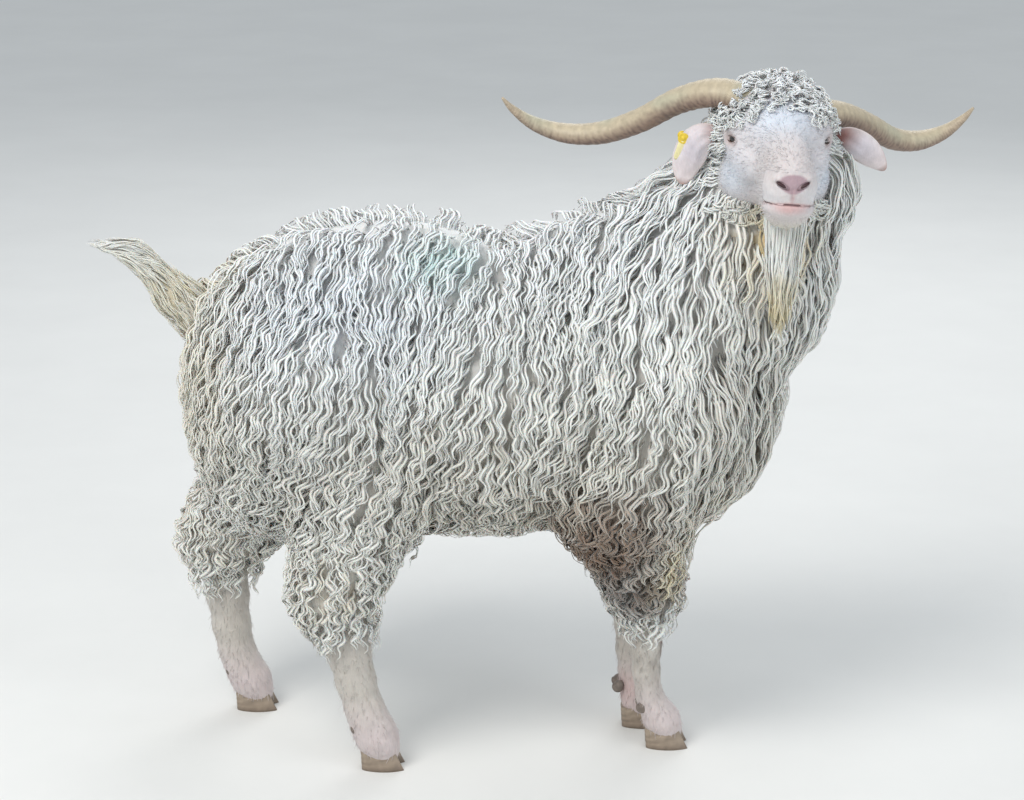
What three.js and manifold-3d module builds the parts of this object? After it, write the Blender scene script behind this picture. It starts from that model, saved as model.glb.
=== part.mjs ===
// Angora goat buck, life size, standing still with its head turned to its right.
// Millimetres, +Z up. The goat faces +X, its left side is +Y, and its hooves stand on z = 0.
import * as THREE from "three";
import { mergeVertices } from "three/addons/utils/BufferGeometryUtils.js";
import Module from "manifold-3d";

const wasm = await Module();
wasm.setup();

// Driving dimensions
const GAP = 0.3; // between nodes that touch
const CORE_SHARE = 0.5; // how far the core under the coat reaches towards its tips
const BLEND = 30; // how softly the masses of flesh run into each other
const HEAD_BLEND = 12;
const FLEECE = 45; // depth of the coat on the flanks
const EYE_R = 13.5;
const EYE_AT = [48, 1, 2.5]; // the right one, in the head's frame
const EYE_OUTWARD = THREE.MathUtils.degToRad(55);
const SLIT_TURN = THREE.MathUtils.degToRad(58);
const SLIT_RISE = THREE.MathUtils.degToRad(24);
const EAR_WIDTH = 42;
const EAR_THICK = 5;
const EAR_CUP = 1.1;
const CLAW_LENGTH = 56;
const CLAW_WIDTH = 21;
const CLAW_HEIGHT = 30;
const CLAW_CLEFT = 3;
const CLAW_SET_BACK = 9;
const CLAW_SPLAY = 0.08;
const SPINE_CLUMPS = 6;
const UNDERLINE = 320; // the trunk's clumps are above it and the legs' below
const TOPKNOT_CURL = 19;
const CHEEK_CURL = 19;
const BEARD_LOCKS = 6;
const BEARD_DROP = 146;
const BEARD_GIRTHS = { widths: [8, 15, 11, 1.5], thicks: [6, 10, 8, 1.2] };
const CLUMP_LIFT = 0.1; // how far a clump's end rises, as a share of its length
const ROOT_SPAN = 0.7; // share of the roots along a line, the rest round its ends
const GOLDEN_ANGLE = Math.PI * (3 - Math.sqrt(5));
const CUT_REACH = 420; // half size of the boxes that part the body into nodes

// Legs: joints from the shoulder or hip down to the foot, and the flesh and coat at each
const LEGS = {
  foreleg_right: {
    joints: [[190, -85, 470], [140, -95, 365], [176, -58, 222], [181, -45, 75], [205, -42, 24]],
    girths: [70, 48, 26],
    coats: [48, 40, 26],
    lowerGirths: [25, 24, 18, 17, 16, 18, 23, 21],
    cutTop: [150, -88, 292],
    cutLow: [180, -52, 188],
  },
  foreleg_left: {
    joints: [[170, 85, 470], [120, 90, 365], [158, 45, 222], [161, 35, 75], [176, 32, 24]],
    girths: [70, 48, 26],
    coats: [48, 40, 26],
    lowerGirths: [25, 24, 18, 17, 16, 18, 23, 21],
    cutTop: [134, 76, 292],
    cutLow: [158, 41, 188],
  },
  hindleg_right: {
    joints: [[-240, -75, 490], [-190, -95, 390], [-228, -115, 245], [-193, -115, 85], [-168, -115, 24]],
    girths: [105, 60, 32],
    coats: [45, 36, 34],
    lowerGirths: [32, 31, 27, 24, 24, 25, 27, 22],
    cutTop: [-204, -102, 348],
    cutLow: [-218, -115, 196],
  },
  hindleg_left: {
    joints: [[-280, 75, 490], [-275, 90, 390], [-392, 92, 252], [-376, 92, 85], [-349, 92, 24]],
    girths: [105, 60, 32],
    coats: [45, 38, 34],
    lowerGirths: [31, 30, 27, 24, 23, 24, 26, 22],
    cutTop: [-320, 92, 348],
    cutLow: [-390, 92, 200],
  },
};
const LEG_CUT_WIDE = 145;
const LEG_CUT_DEEP = 82;

// The head is made facing +Y in its own frame, with its origin between the eyes and its right side at +X
const HEAD_AT = new THREE.Vector3(327, -114, 828);
const HEAD_TURN = THREE.MathUtils.degToRad(182.1);
const HEAD_NOD = THREE.MathUtils.degToRad(-2.2);
const HEAD_TILT = THREE.MathUtils.degToRad(-1.6);
const headMatrix = new THREE.Matrix4()
  .makeRotationFromEuler(new THREE.Euler(HEAD_NOD, HEAD_TILT, HEAD_TURN, "ZXY"))
  .setPosition(HEAD_AT);

const vec = (x, y, z) => new THREE.Vector3(x, y, z);
const { lerp, clamp } = THREE.MathUtils;
function mirrored(make) {
  return [-1, 1].map(make);
}

// Masses of flesh: a cone with round ends, or an egg. Each has the depth of the coat over it
function cone(a, b, radiusA, radiusB, coatA, coatB = coatA) {
  return { a: vec(...a), b: vec(...b), radiusA, radiusB, coatA, coatB };
}
function egg(centre, radii, coat, pitch = 0) {
  return { centre: vec(...centre), radii: vec(...radii), coat, pitch: THREE.MathUtils.degToRad(pitch) };
}
const torsoMasses = [
  egg([-30, 0, 483], [270, 150, 148], FLEECE),
  egg([150, 0, 480], [155, 120, 158], 48),
  egg([-245, 0, 520], [140, 125, 130], FLEECE),
  egg([-305, 0, 455], [80, 115, 130], 40),
  egg([-165, 0, 600], [150, 80, 78], FLEECE, 3),
  egg([140, 0, 618], [125, 58, 72], FLEECE),
  egg([225, 0, 465], [68, 80, 90], 50),
];
const neckMasses = [
  cone([180, 0, 540], [270, 5, 640], 115, 98, 50),
  cone([270, 5, 640], [334, -12, 756], 100, 68, 50, 40),
];
const tailMasses = [
  cone([-370, 0, 560], [-435, 0, 598], 34, 20, 22, 16),
  cone([-435, 0, 598], [-482, 0, 660], 20, 11, 16, 12),
];
const headMasses = [
  egg([0, -55, 4], [55, 72, 46], 28),
  egg([0, 0, 8], [50, 50, 38], 10),
  ...mirrored((s) => egg([s * 46, -4, 4], [20, 24, 20], 2)),
  ...mirrored((s) => egg([s * 27, -24, -42], [26, 50, 38], 10)),
  cone([0, 20, 6], [0, 128, -6], 32, 22, 2),
  cone([0, 30, -22], [0, 115, -26], 36, 26, 2),
  cone([0, -20, -56], [0, 100, -58], 28, 18, 8, 3),
  egg([0, 125, -26], [31, 28, 26], 2),
  egg([0, 108, -60], [22, 22, 18], 3),
];
function upperLegMasses({ joints, girths, coats }) {
  return [0, 1].map((i) =>
    cone(joints[i], joints[i + 1], girths[i], girths[i + 1], coats[i], coats[i + 1]),
  );
}

// Distance from a point to one mass, out to a share of its coat
function massDistance(mass, p, share) {
  if (mass.centre) {
    const { x, y, z } = p.clone().sub(mass.centre);
    const [c, s] = [Math.cos(mass.pitch), Math.sin(mass.pitch)];
    const grown = mass.radii.clone().addScalar(mass.coat * share);
    const inside = vec(x * c + z * s, y, z * c - x * s).divide(grown);
    const near = inside.length();
    return (near * (near - 1)) / Math.max(inside.divide(grown).length(), 1e-6);
  }
  const line = mass.b.clone().sub(mass.a);
  const t = clamp(p.clone().sub(mass.a).dot(line) / line.lengthSq(), 0, 1);
  const radius = lerp(mass.radiusA, mass.radiusB, t) + share * lerp(mass.coatA, mass.coatB, t);
  return p.distanceTo(line.multiplyScalar(t).add(mass.a)) - radius;
}
// The distance field of several masses that run into each other
function fieldOf(masses, share, blend = BLEND) {
  return (p) =>
    masses
      .map((mass) => massDistance(mass, p, share))
      .reduce((whole, next) => {
        const h = clamp(0.5 + (0.5 * (whole - next)) / blend, 0, 1);
        return lerp(whole, next, h) - blend * h * (1 - h);
      });
}
// Where a ray from inside meets the field's surface
function surfaceFrom(field, from, direction) {
  const p = from.clone();
  for (let i = 0; i < 60; i += 1) {
    const depth = -field(p);
    if (Math.abs(depth) < 0.05) break;
    p.addScaledVector(direction, depth * 0.85);
  }
  return p;
}

// A capsule whose vertices are drawn out from its own axis to the field's surface
function wrapped(field, from, to, { around, along, cap }) {
  const axis = vec(...to).sub(vec(...from));
  const unit = axis.clone().normalize();
  const half = axis.length() / 2;
  const middle = vec(...from).addScaledVector(unit, half);
  const capsule = new THREE.CapsuleGeometry(1, half * 2, cap, around, along);
  capsule.applyQuaternion(new THREE.Quaternion().setFromUnitVectors(vec(0, 1, 0), unit));
  const place = capsule.getAttribute("position");
  for (let i = 0; i < place.count; i += 1) {
    const v = vec().fromBufferAttribute(place, i);
    const origin = unit.clone().multiplyScalar(clamp(v.dot(unit), -half, half));
    const direction = v.sub(origin).normalize();
    const met = surfaceFrom(field, origin.add(middle), direction);
    place.setXYZ(i, met.x, met.y, met.z);
  }
  return capsule;
}

// A closed tube along a curve, whose width and thickness change along it
function sampled(list, t) {
  const at = t * (list.length - 1);
  const i = Math.min(Math.floor(at), list.length - 2);
  return lerp(list[i], list[i + 1], at - i);
}
function swept(points, { widths, thicks = widths, sides, rings, face = vec(0, 0, 1) }) {
  const curve = new THREE.CatmullRomCurve3(points);
  const tube = new THREE.CylinderGeometry(1, 1, 1, sides, rings);
  const place = tube.getAttribute("position");
  for (let i = 0; i < place.count; i += 1) {
    const t = clamp(0.5 - place.getY(i), 0, 1);
    const tangent = curve.getTangent(t);
    const side = tangent.clone().cross(face).normalize();
    const up = tangent.clone().cross(side);
    const p = curve
      .getPoint(t)
      .addScaledVector(side, place.getX(i) * sampled(widths, t))
      .addScaledVector(up, place.getZ(i) * sampled(thicks, t));
    place.setXYZ(i, p.x, p.y, p.z);
  }
  return tube;
}

// A seeded draw, so that the coat varies alike on every run
let seed = 7;
function draw(low, high) {
  seed = (seed * 1664525 + 1013904223) % 4294967296;
  return low + (high - low) * (seed / 4294967296);
}
function normalAt(field, p) {
  const here = field(p);
  const slope = (x, y, z) => field(vec(p.x + x, p.y + y, p.z + z)) - here;
  return vec(slope(1, 0, 0), slope(0, 1, 0), slope(0, 0, 1)).normalize();
}
// The way the coat lies at a point: combed and falling, flat along the surface
function lieAt(p, normal, comb) {
  const lie = comb(p).add(vec(0, 0, -1));
  return lie.addScaledVector(normal, -lie.dot(normal)).normalize();
}
// One rounded clump of the coat, laid along its lie, sunk by half into the core and lifted at its end
function clump(field, root, comb, { length, width, thick }) {
  const normal = normalAt(field, root);
  const lie = lieAt(root, normal, comb).applyAxisAngle(normal, draw(-0.3, 0.3));
  const along = lie.addScaledVector(normal, CLUMP_LIFT).normalize();
  const across = along.clone().cross(normal).normalize();
  const size = draw(0.86, 1.12);
  return new THREE.SphereGeometry(1, 6, 3)
    .scale((width / 2) * size, (length / 2) * draw(0.85, 1.12), thick * draw(0.85, 1.1))
    .applyMatrix4(new THREE.Matrix4().makeBasis(across, along, across.clone().cross(along)))
    .translate(...root);
}
// A round curl, sunk by a third into the surface
function curl(field, root, radius) {
  const size = radius * draw(0.85, 1.2);
  const normal = normalAt(field, root);
  return new THREE.IcosahedronGeometry(1)
    .scale(size * draw(0.9, 1.1), size * draw(0.9, 1.15), size * draw(0.8, 1))
    .rotateX(draw(0, Math.PI))
    .rotateZ(draw(0, Math.PI))
    .translate(...root.clone().addScaledVector(normal, size * 0.1));
}
// Roots spread evenly over a field's surface, along a line inside it and round its two ends
function roots(field, from, to, count) {
  const axis = vec(...to).sub(vec(...from));
  const unit = axis.clone().normalize();
  const across = vec(0, 1, 0).addScaledVector(unit, -unit.y).normalize();
  const upward = unit.clone().cross(across);
  return Array.from({ length: count }, (_, i) => {
    const t = (i + 0.5) / count;
    const past = Math.max(0, Math.abs(t - 0.5) - ROOT_SPAN / 2) / (0.5 - ROOT_SPAN / 2);
    const lean = Math.sign(t - 0.5) * Math.asin(past);
    const angle = i * GOLDEN_ANGLE + draw(-0.1, 0.1);
    const ray = across
      .clone()
      .multiplyScalar(Math.cos(angle) * Math.cos(lean))
      .addScaledVector(upward, Math.sin(angle) * Math.cos(lean))
      .addScaledVector(unit, Math.sin(lean));
    const along = clamp((t - 0.5) / ROOT_SPAN + 0.5, 0, 1);
    return surfaceFrom(field, vec(...from).addScaledVector(axis, along), ray);
  });
}

// Closed geometry as a solid that can be joined and cut, and back again
function solidOf(geometry) {
  const bare = geometry.clone();
  bare.deleteAttribute("normal");
  bare.deleteAttribute("uv");
  const merged = mergeVertices(bare, 1e-3);
  const vertProperties = merged.getAttribute("position").array;
  const make = (triVerts) => new wasm.Manifold(new wasm.Mesh({ numProp: 3, vertProperties, triVerts }));
  const solid = make(new Uint32Array(merged.index.array));
  return solid.volume() > 0 ? solid : make(new Uint32Array(merged.index.array).reverse());
}
function geometryOf(solid) {
  const { vertProperties, triVerts } = solid.getMesh();
  const geometry = new THREE.BufferGeometry();
  geometry.setAttribute("position", new THREE.BufferAttribute(vertProperties, 3));
  geometry.setIndex(new THREE.BufferAttribute(triVerts, 1));
  return geometry;
}
function joined(geometries) {
  return wasm.Manifold.union(geometries.map(solidOf));
}
function largest(solid) {
  return solid.decompose().reduce((best, next) => (next.volume() > best.volume() ? next : best));
}

// A box that starts at a point and reaches along a direction, grown by a gap for what it leaves behind
function cutter({ at, toward, reach = CUT_REACH, wide = CUT_REACH, deep = wide }, grow) {
  const turn = new THREE.Quaternion().setFromUnitVectors(vec(0, 0, 1), vec(...toward).normalize());
  return new THREE.BoxGeometry(2 * (wide + grow), 2 * (deep + grow), reach + 2 * grow)
    .translate(0, 0, reach / 2)
    .applyQuaternion(turn)
    .translate(...at);
}
function inside(whole, cut) {
  return whole.intersect(solidOf(cutter(cut, 0)));
}
function outside(whole, cut) {
  return whole.subtract(solidOf(cutter(cut, GAP)));
}

// The fields of the body's regions, and the line inside each
const torsoField = fieldOf(torsoMasses, CORE_SHARE);
const neckField = fieldOf(neckMasses, CORE_SHARE);
const tailField = fieldOf(tailMasses, CORE_SHARE, HEAD_BLEND);
const legFields = Object.values(LEGS).map((leg) => fieldOf(upperLegMasses(leg), CORE_SHARE));
const fields = [torsoField, neckField, tailField, ...legFields];
const bodyField = (p) => Math.min(...fields.map((field) => field(p)));
const trunkField = (p) => Math.min(torsoField(p), ...legFields.map((field) => field(p)));
const TORSO_LINE = [[-290, 0, 505], [190, 0, 500]];
const NECK_LINE = [[190, 0, 550], [330, -10, 756]];
const TAIL_LINE = [[-370, 0, 560], [-478, 0, 655]];

// Head
const headField = fieldOf(headMasses, CORE_SHARE, HEAD_BLEND);
function eyeball(s, grow = 0) {
  return new THREE.SphereGeometry(EYE_R + grow, 10, 7).translate(s * EYE_AT[0], EYE_AT[1], EYE_AT[2]);
}
// A point over the right eyeball, by its turn along the slit and its rise above it
function overEye(turn, rise, height) {
  const angle = EYE_OUTWARD + turn;
  return vec(Math.sin(angle) * Math.cos(rise), Math.cos(angle) * Math.cos(rise), Math.sin(rise))
    .multiplyScalar(EYE_R + height)
    .add(vec(...EYE_AT));
}
function lidOpening(s) {
  return new THREE.SphereGeometry(1, 10, 5)
    .scale(12, 9, 4.2)
    .rotateZ(-EYE_OUTWARD)
    .translate(...overEye(0, 0, 0))
    .scale(s, 1, 1);
}
function lidRim(s, upper) {
  const points = [-1, -0.5, 0, 0.5, 1].map((t) => overEye(t * SLIT_TURN, upper * SLIT_RISE * (1 - t * t), 1.2));
  return swept(points, { widths: [0.6, 2, 2.4, 2, 0.6], sides: 4, rings: 4, face: vec(1, 1, 0) }).scale(s, 1, 1);
}
const MOUTH_LINE = [[-28, 110, -51], [-20, 137, -47], [0, 150, -43.5], [20, 137, -45], [28, 110, -47]];
const mouthPoints = MOUTH_LINE.map((p) => vec(...p));
function lip(rise, radius) {
  const points = mouthPoints.map((p) => p.clone().add(vec(0, -radius * 1.2, rise)));
  return swept(points, { widths: [1, radius, radius, radius, 1], sides: 6, rings: 6 });
}
function nostril(s) {
  return new THREE.SphereGeometry(1, 8, 6)
    .scale(8, 9, 2.8)
    .rotateY(s * -0.45)
    .translate(s * 12.5, 149, -19);
}
function faceSolid() {
  const flesh = [
    wrapped(headField, [0, -50, -6], [0, 112, -34], { around: 16, along: 9, cap: 3 }),
    lip(3.4, 4),
    lip(-3.8, 4),
    ...[-1, 1].flatMap((s) => mirrored((upper) => lidRim(s, upper))),
  ];
  const mouthSlit = swept(mouthPoints, { widths: [1.6, 1.6], sides: 4, rings: 6 });
  const holes = [...mirrored(lidOpening), ...mirrored(nostril), mouthSlit];
  return joined(flesh).subtract(joined(holes));
}

// Horns: a flattened section with growth rings, sweeping back, out and up at the tip
const HORN_LINE = [
  [28, -42, 39],
  [62, -57, 46],
  [100, -86, 30],
  [144, -120, -6],
  [185, -143, -27.5],
  [224, -158, -32],
  [260, -163, -21],
  [285, -158, -1],
  [296, -153, 13],
];
const HORN_RADII = [23, 22, 20.5, 19, 17.5, 15, 10.5, 5.5, 2];
const HORN_FLATNESS = 0.8;
const HORN_BEND = 4; // points of the line over the head, before the horn turns up again
const HORN_RINGS = 20;
const RING_DEPTH = 0.06;
function horn(s, spread, arch, grow = 0) {
  const rise = (up) => (up > 0 ? up * arch : up);
  const points = HORN_LINE.map(([out, back, up], i) => vec(s * out * spread, back, i < HORN_BEND ? rise(up) : up));
  const widths = Array.from({ length: HORN_RINGS + 1 }, (_, i) => {
    const ridge = i % 2 ? 1 : 1 - RING_DEPTH;
    return sampled(HORN_RADII, i / HORN_RINGS) * ridge + grow;
  });
  const thicks = widths.map((w) => (w - grow) * HORN_FLATNESS + grow);
  return swept(points, { widths, thicks, sides: 8, rings: HORN_RINGS, face: vec(0, 0.35, 1) });
}
const HORNS = { horn_right: [1, 1.13, 1], horn_left: [-1, 0.91, 0.48] };

// Ears: a drooping leaf with a cupped inside, along a line from its root to its tip
const EARS = {
  ear_right: { line: [[64, -35, 4], [94, -42, -10], [106, -47, -36], [111, -51, -69]], front: [0.26, 1, 0.24] },
  ear_left: { line: [[-66, -39, 3], [-95, -51, -12], [-122, -60, -30], [-146, -68, -49]], front: [-0.17, 0.91, -0.6] },
};
function ear({ line, front }, grow = 0) {
  const curve = new THREE.CatmullRomCurve3(line.map((p) => vec(...p)));
  const leaf = new THREE.SphereGeometry(1, 10, 8);
  const place = leaf.getAttribute("position");
  for (let i = 0; i < place.count; i += 1) {
    const [x, y, z] = [place.getX(i), place.getY(i), place.getZ(i)];
    const t = clamp((1 + y) / 2, 0, 1); // 0 at the root, 1 at the tip
    const tangent = curve.getTangent(t);
    const across = tangent.clone().cross(vec(...front)).normalize();
    const facing = across.clone().cross(tangent);
    const wide = x * ((EAR_WIDTH / 2) * (0.75 + 0.25 * Math.sin(Math.PI * t)) + grow);
    const cup = (EAR_CUP * wide * wide) / EAR_WIDTH;
    const p = curve
      .getPoint(t)
      .addScaledVector(tangent, y * grow)
      .addScaledVector(across, wide)
      .addScaledVector(facing, z * (EAR_THICK / 2 + grow) - cup * (1 - 0.6 * t));
    place.setXYZ(i, p.x, p.y, p.z);
  }
  return leaf;
}
// Ear tag: a round button on the right ear's edge, with a stud through it to a disc behind and a strap that hangs
const TAG_AT = vec(112, -48, -11);
const TAG_R = 7;
const TAG_THICK = 2.4;
const STUD_R = 2.5;
const STUD_LENGTH = 20;
const STRAP_END = vec(119, -52, -38);
const STRAP_WIDTH = 9;
const STRAP_THICK = 2;
function earTag(grow = 0) {
  const profile = [
    [0, grow],
    [TAG_R + grow, grow],
    [TAG_R + grow, -TAG_THICK - grow],
    [STUD_R + grow, -TAG_THICK - grow],
    [STUD_R + grow, TAG_THICK - STUD_LENGTH + grow],
    [TAG_R * 0.8 + grow, TAG_THICK - STUD_LENGTH + grow],
    [TAG_R * 0.8 + grow, -STUD_LENGTH - grow],
    [0, -STUD_LENGTH - grow],
  ].map(([x, y]) => new THREE.Vector2(x, y));
  const button = new THREE.LatheGeometry(profile, 10).translate(...TAG_AT);
  const down = STRAP_END.clone().sub(TAG_AT);
  const length = down.length();
  const across = down.normalize().clone().cross(vec(0, 1, 0)).normalize();
  const strap = new THREE.BoxGeometry(STRAP_WIDTH + 2 * grow, length + 2 * grow, STRAP_THICK + 2 * grow)
    .applyMatrix4(new THREE.Matrix4().makeBasis(across, down, across.clone().cross(down)))
    .translate(...TAG_AT.clone().lerp(STRAP_END, 0.5).add(vec(0, -TAG_THICK / 2, 0)));
  return geometryOf(joined([button, strap]));
}

// Legs: a woolly upper part that grows out of the body, and a bare lower part down to the foot
function lowerLeg(leg) {
  const line = leg.joints.slice(2).map((joint) => vec(...joint));
  return swept(line, { widths: leg.lowerGirths, sides: 8, rings: 7, face: vec(1, 0, 0) });
}
// Hooves: two claws to a foot, flat underneath, and two dewclaws behind the pastern
function claw(side, foot, grow = 0) {
  const block = new THREE.CylinderGeometry(1, 1, 1, 10, 1).rotateX(Math.PI / 2);
  const place = block.getAttribute("position");
  for (let i = 0; i < place.count; i += 1) {
    const [x, y, h] = [place.getX(i), place.getY(i), place.getZ(i) + 0.5];
    const toe = x > 0 ? 1 - 0.4 * x * x : 1;
    const long = x * (lerp(CLAW_LENGTH / 2, CLAW_LENGTH * 0.36, h) + grow);
    const wide = y * (lerp(CLAW_WIDTH / 2, CLAW_WIDTH * 0.44, h) + grow) * toe;
    place.setXYZ(i, long - h * CLAW_SET_BACK, wide, h * (CLAW_HEIGHT * (1 + 0.16 * x) + grow));
  }
  return block
    .rotateZ(side * CLAW_SPLAY)
    .translate(foot[0], foot[1] + (side * (CLAW_WIDTH + CLAW_CLEFT)) / 2, 0);
}
function dewclaw(side, foot, grow = 0) {
  return new THREE.SphereGeometry(1, 6, 4)
    .scale(9 + grow, 7 + grow, 9 + grow)
    .rotateY(0.5)
    .translate(foot[0] - 33, foot[1] + side * 12, 58);
}

// Wool of the head: a curly topknot that falls over the brow, curls on the cheeks, and the beard's long locks
function topknotCurls() {
  return roots(headField, [0, -95, 4], [0, 4, 8], 50)
    .filter((p) => p.z > 30 + Math.max(0, p.y) * 0.6 && p.z > -p.y * 0.3)
    .map((p) => curl(headField, p, TOPKNOT_CURL));
}
function cheekCurls() {
  return roots(headField, [0, -90, -20], [0, -20, -30], 18)
    .filter((p) => p.z < 30 && Math.abs(p.x) > 36 && p.y < -16 && p.y > -80)
    .map((p) => curl(headField, p, CHEEK_CURL));
}
function beardLocks() {
  const core = new THREE.SphereGeometry(1, 8, 5).scale(29, 17, 34).translate(0, 74, -82);
  const locks = Array.from({ length: BEARD_LOCKS }, (_, i) => {
    const t = i / (BEARD_LOCKS - 1) - 0.5;
    const front = i % 2 ? 8 : -8;
    const drop = BEARD_DROP * draw(0.75, 1) * (1 - Math.abs(t) * 0.5);
    const points = [
      vec(t * 34 - 4, 83 + front, -68),
      vec(t * 62 - 4, 82 + front, -105),
      vec(t * 46 - 3, 71 + front * 0.7, -78 - drop * 0.6),
      vec(t * 22 - 3, 60 + front * 0.4, -78 - drop),
    ];
    return swept(points, { ...BEARD_GIRTHS, sides: 4, rings: 3, face: vec(0, 1, 0) });
  });
  return [core, ...locks];
}

// Wool of the body: how each region's clumps are combed, and how big they are
function coatOver(field, line, count, comb, shape, keep = () => true) {
  return roots(field, ...line, count)
    .filter((p) => bodyField(p) > -2 && keep(p))
    .map((p) => clump(bodyField, p, comb, shape));
}
// Along the back the coat parts to both sides
function spine() {
  return Array.from({ length: SPINE_CLUMPS }, (_, i) => {
    const x = lerp(-350, 110, i / (SPINE_CLUMPS - 1));
    return surfaceFrom(bodyField, vec(x, i % 2 ? 16 : -16, 560), vec(0, 0, 1));
  });
}
function downAndBack(p) {
  return vec(-0.3, Math.sign(p.y) * clamp((p.z - 500) / 100, 0, 1), 0);
}
function downOnly() {
  return vec(-0.12, 0, 0);
}
function alongTail() {
  return vec(-1.2, 0, 2.5);
}
function bodyCoat() {
  const flank = { length: 156, width: 118, thick: 26 };
  const mane = { length: 120, width: 84, thick: 24 };
  const stocking = { length: 104, width: 84, thick: 20 };
  const plume = { length: 80, width: 34, thick: 12 };
  return [
    ...coatOver(trunkField, TORSO_LINE, 62, downAndBack, flank, (p) => p.z > UNDERLINE),
    ...spine().map((p) => clump(bodyField, p, downAndBack, flank)),
    ...coatOver(neckField, NECK_LINE, 20, downOnly, mane),
    ...coatOver(tailField, TAIL_LINE, 10, alongTail, plume),
    ...legFields.flatMap((field, i) => {
      const { joints } = Object.values(LEGS)[i];
      return coatOver(field, [joints[1], joints[2]], 9, downOnly, stocking, (p) => p.z < UNDERLINE);
    }),
  ];
}

const LOOKS = {
  fleece: { color: 0xe9e0c8, roughness: 0.85 },
  face: { color: 0xe6d3c4, roughness: 0.75 },
  leg: { color: 0xd9cbb4, roughness: 0.8 },
  horn: { color: 0xb59a78, roughness: 0.55 },
  hoof: { color: 0x6b5a48, roughness: 0.6 },
  eye: { color: 0x1c1410, roughness: 0.1 },
  tag: { color: 0xd9c23a, roughness: 0.45 },
};
function meshOf(name, solid, look) {
  const mesh = new THREE.Mesh(geometryOf(solid), new THREE.MeshStandardMaterial({ ...LOOKS[look], metalness: 0 }));
  mesh.name = name;
  return mesh;
}

// Where the body is parted
const HEAD_CUT = { at: [0, -66, -62], toward: [0, 0.75, 0.66] };
const TOPKNOT_CUT = { at: [0, 0, 40], toward: [0, 0.12, 1] };
const BEARD_CUT = { at: [0, 75, -79], toward: [0, -0.1, -1], wide: 60, deep: 60 };
const NECK_CUT = { at: [205, 0, 568], toward: [0.67, 0, 0.74] };
const TAIL_CUT = { at: [-412, 0, 584], toward: [-0.83, 0, 0.56], reach: 200, wide: 90 };

// Head group, in its own frame
const headGroup = new THREE.Group();
headGroup.applyMatrix4(headMatrix);
const headParts = [
  ...Object.entries(EARS).map(([name, shape]) => [name, "face", (grow) => ear(shape, grow)]),
  ...Object.entries(HORNS).map(([name, shape]) => [name, "horn", (grow) => horn(...shape, grow)]),
  ["eye_right", "eye", (grow) => eyeball(1, grow)],
  ["eye_left", "eye", (grow) => eyeball(-1, grow)],
  ["ear_tag", "tag", (grow) => earTag(grow)],
];
const headSeats = joined(headParts.map(([, , make]) => make(GAP)));
const headWhole = faceSolid()
  .add(joined([...topknotCurls(), ...cheekCurls(), ...beardLocks()]))
  .subtract(headSeats);
const skull = inside(outside(outside(headWhole, BEARD_CUT), TOPKNOT_CUT), HEAD_CUT);
headGroup.add(meshOf("beard", largest(inside(headWhole, BEARD_CUT)), "fleece"));
headGroup.add(meshOf("topknot", largest(inside(headWhole, TOPKNOT_CUT)), "fleece"));
headGroup.add(meshOf("head", largest(skull), "face"));
headParts.forEach(([name, look, make], i) => {
  const later = headParts.slice(i + 1).map(([, , other]) => other(GAP));
  const solid = solidOf(make(0));
  headGroup.add(meshOf(name, largest(later.length ? solid.subtract(joined(later)) : solid), look));
});

// Body group: the whole body is joined, then parted into its nodes
const bodyGroup = new THREE.Group();
let body = joined([
  wrapped(torsoField, ...TORSO_LINE, { around: 18, along: 8, cap: 4 }),
  wrapped(neckField, ...NECK_LINE, { around: 14, along: 5, cap: 3 }),
  wrapped(tailField, ...TAIL_LINE, { around: 8, along: 5, cap: 2 }),
  ...Object.values(LEGS).map(({ joints }, i) =>
    wrapped(legFields[i], joints[0], joints[2], { around: 10, along: 4, cap: 3 }),
  ),
  ...bodyCoat(),
])
  .subtract(solidOf(cutter(HEAD_CUT, GAP).applyMatrix4(headMatrix)))
  .subtract(headSeats.transform(headMatrix.elements));

bodyGroup.add(meshOf("neck", largest(inside(body, NECK_CUT)), "fleece"));
body = outside(body, NECK_CUT);
bodyGroup.add(meshOf("tail", largest(inside(body, TAIL_CUT)), "fleece"));
body = outside(body, TAIL_CUT);

Object.entries(LEGS).forEach(([name, leg]) => {
  const foot = leg.joints[4];
  const down = { toward: [0, 0, -1], wide: LEG_CUT_WIDE, deep: LEG_CUT_DEEP };
  const topCut = { at: leg.cutTop, ...down };
  const lowCut = { at: leg.cutLow, ...down };
  const footSeats = joined([-1, 1].flatMap((side) => [claw(side, foot, GAP), dewclaw(side, foot, GAP)]));
  const limb = inside(body, topCut).add(solidOf(lowerLeg(leg)));
  bodyGroup.add(meshOf(`${name}_upper`, largest(outside(inside(limb, topCut), lowCut)), "fleece"));
  bodyGroup.add(meshOf(`${name}_lower`, largest(inside(limb, lowCut).subtract(footSeats)), "leg"));
  [-1, 1].forEach((side, i) => {
    bodyGroup.add(meshOf(`${name}_claw_${i + 1}`, solidOf(claw(side, foot)), "hoof"));
    bodyGroup.add(meshOf(`${name}_dewclaw_${i + 1}`, solidOf(dewclaw(side, foot)), "hoof"));
  });
  body = outside(body, topCut);
});
bodyGroup.add(meshOf("torso", largest(body), "fleece"));

// The origin is on the ground, under the middle of the goat's box
const goat = new THREE.Group();
goat.add(bodyGroup, headGroup);
const box = new THREE.Box3().setFromObject(goat, true);
const middle = box.getCenter(vec());
goat.position.set(-middle.x, -middle.y, -box.min.z);

export default goat;
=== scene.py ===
# Angora goat buck, life size, standing still. Lengths are in millimetres until a mesh is made.
import math

import bmesh
import bpy
import numpy as np
from mathutils import Matrix, Vector


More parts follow.
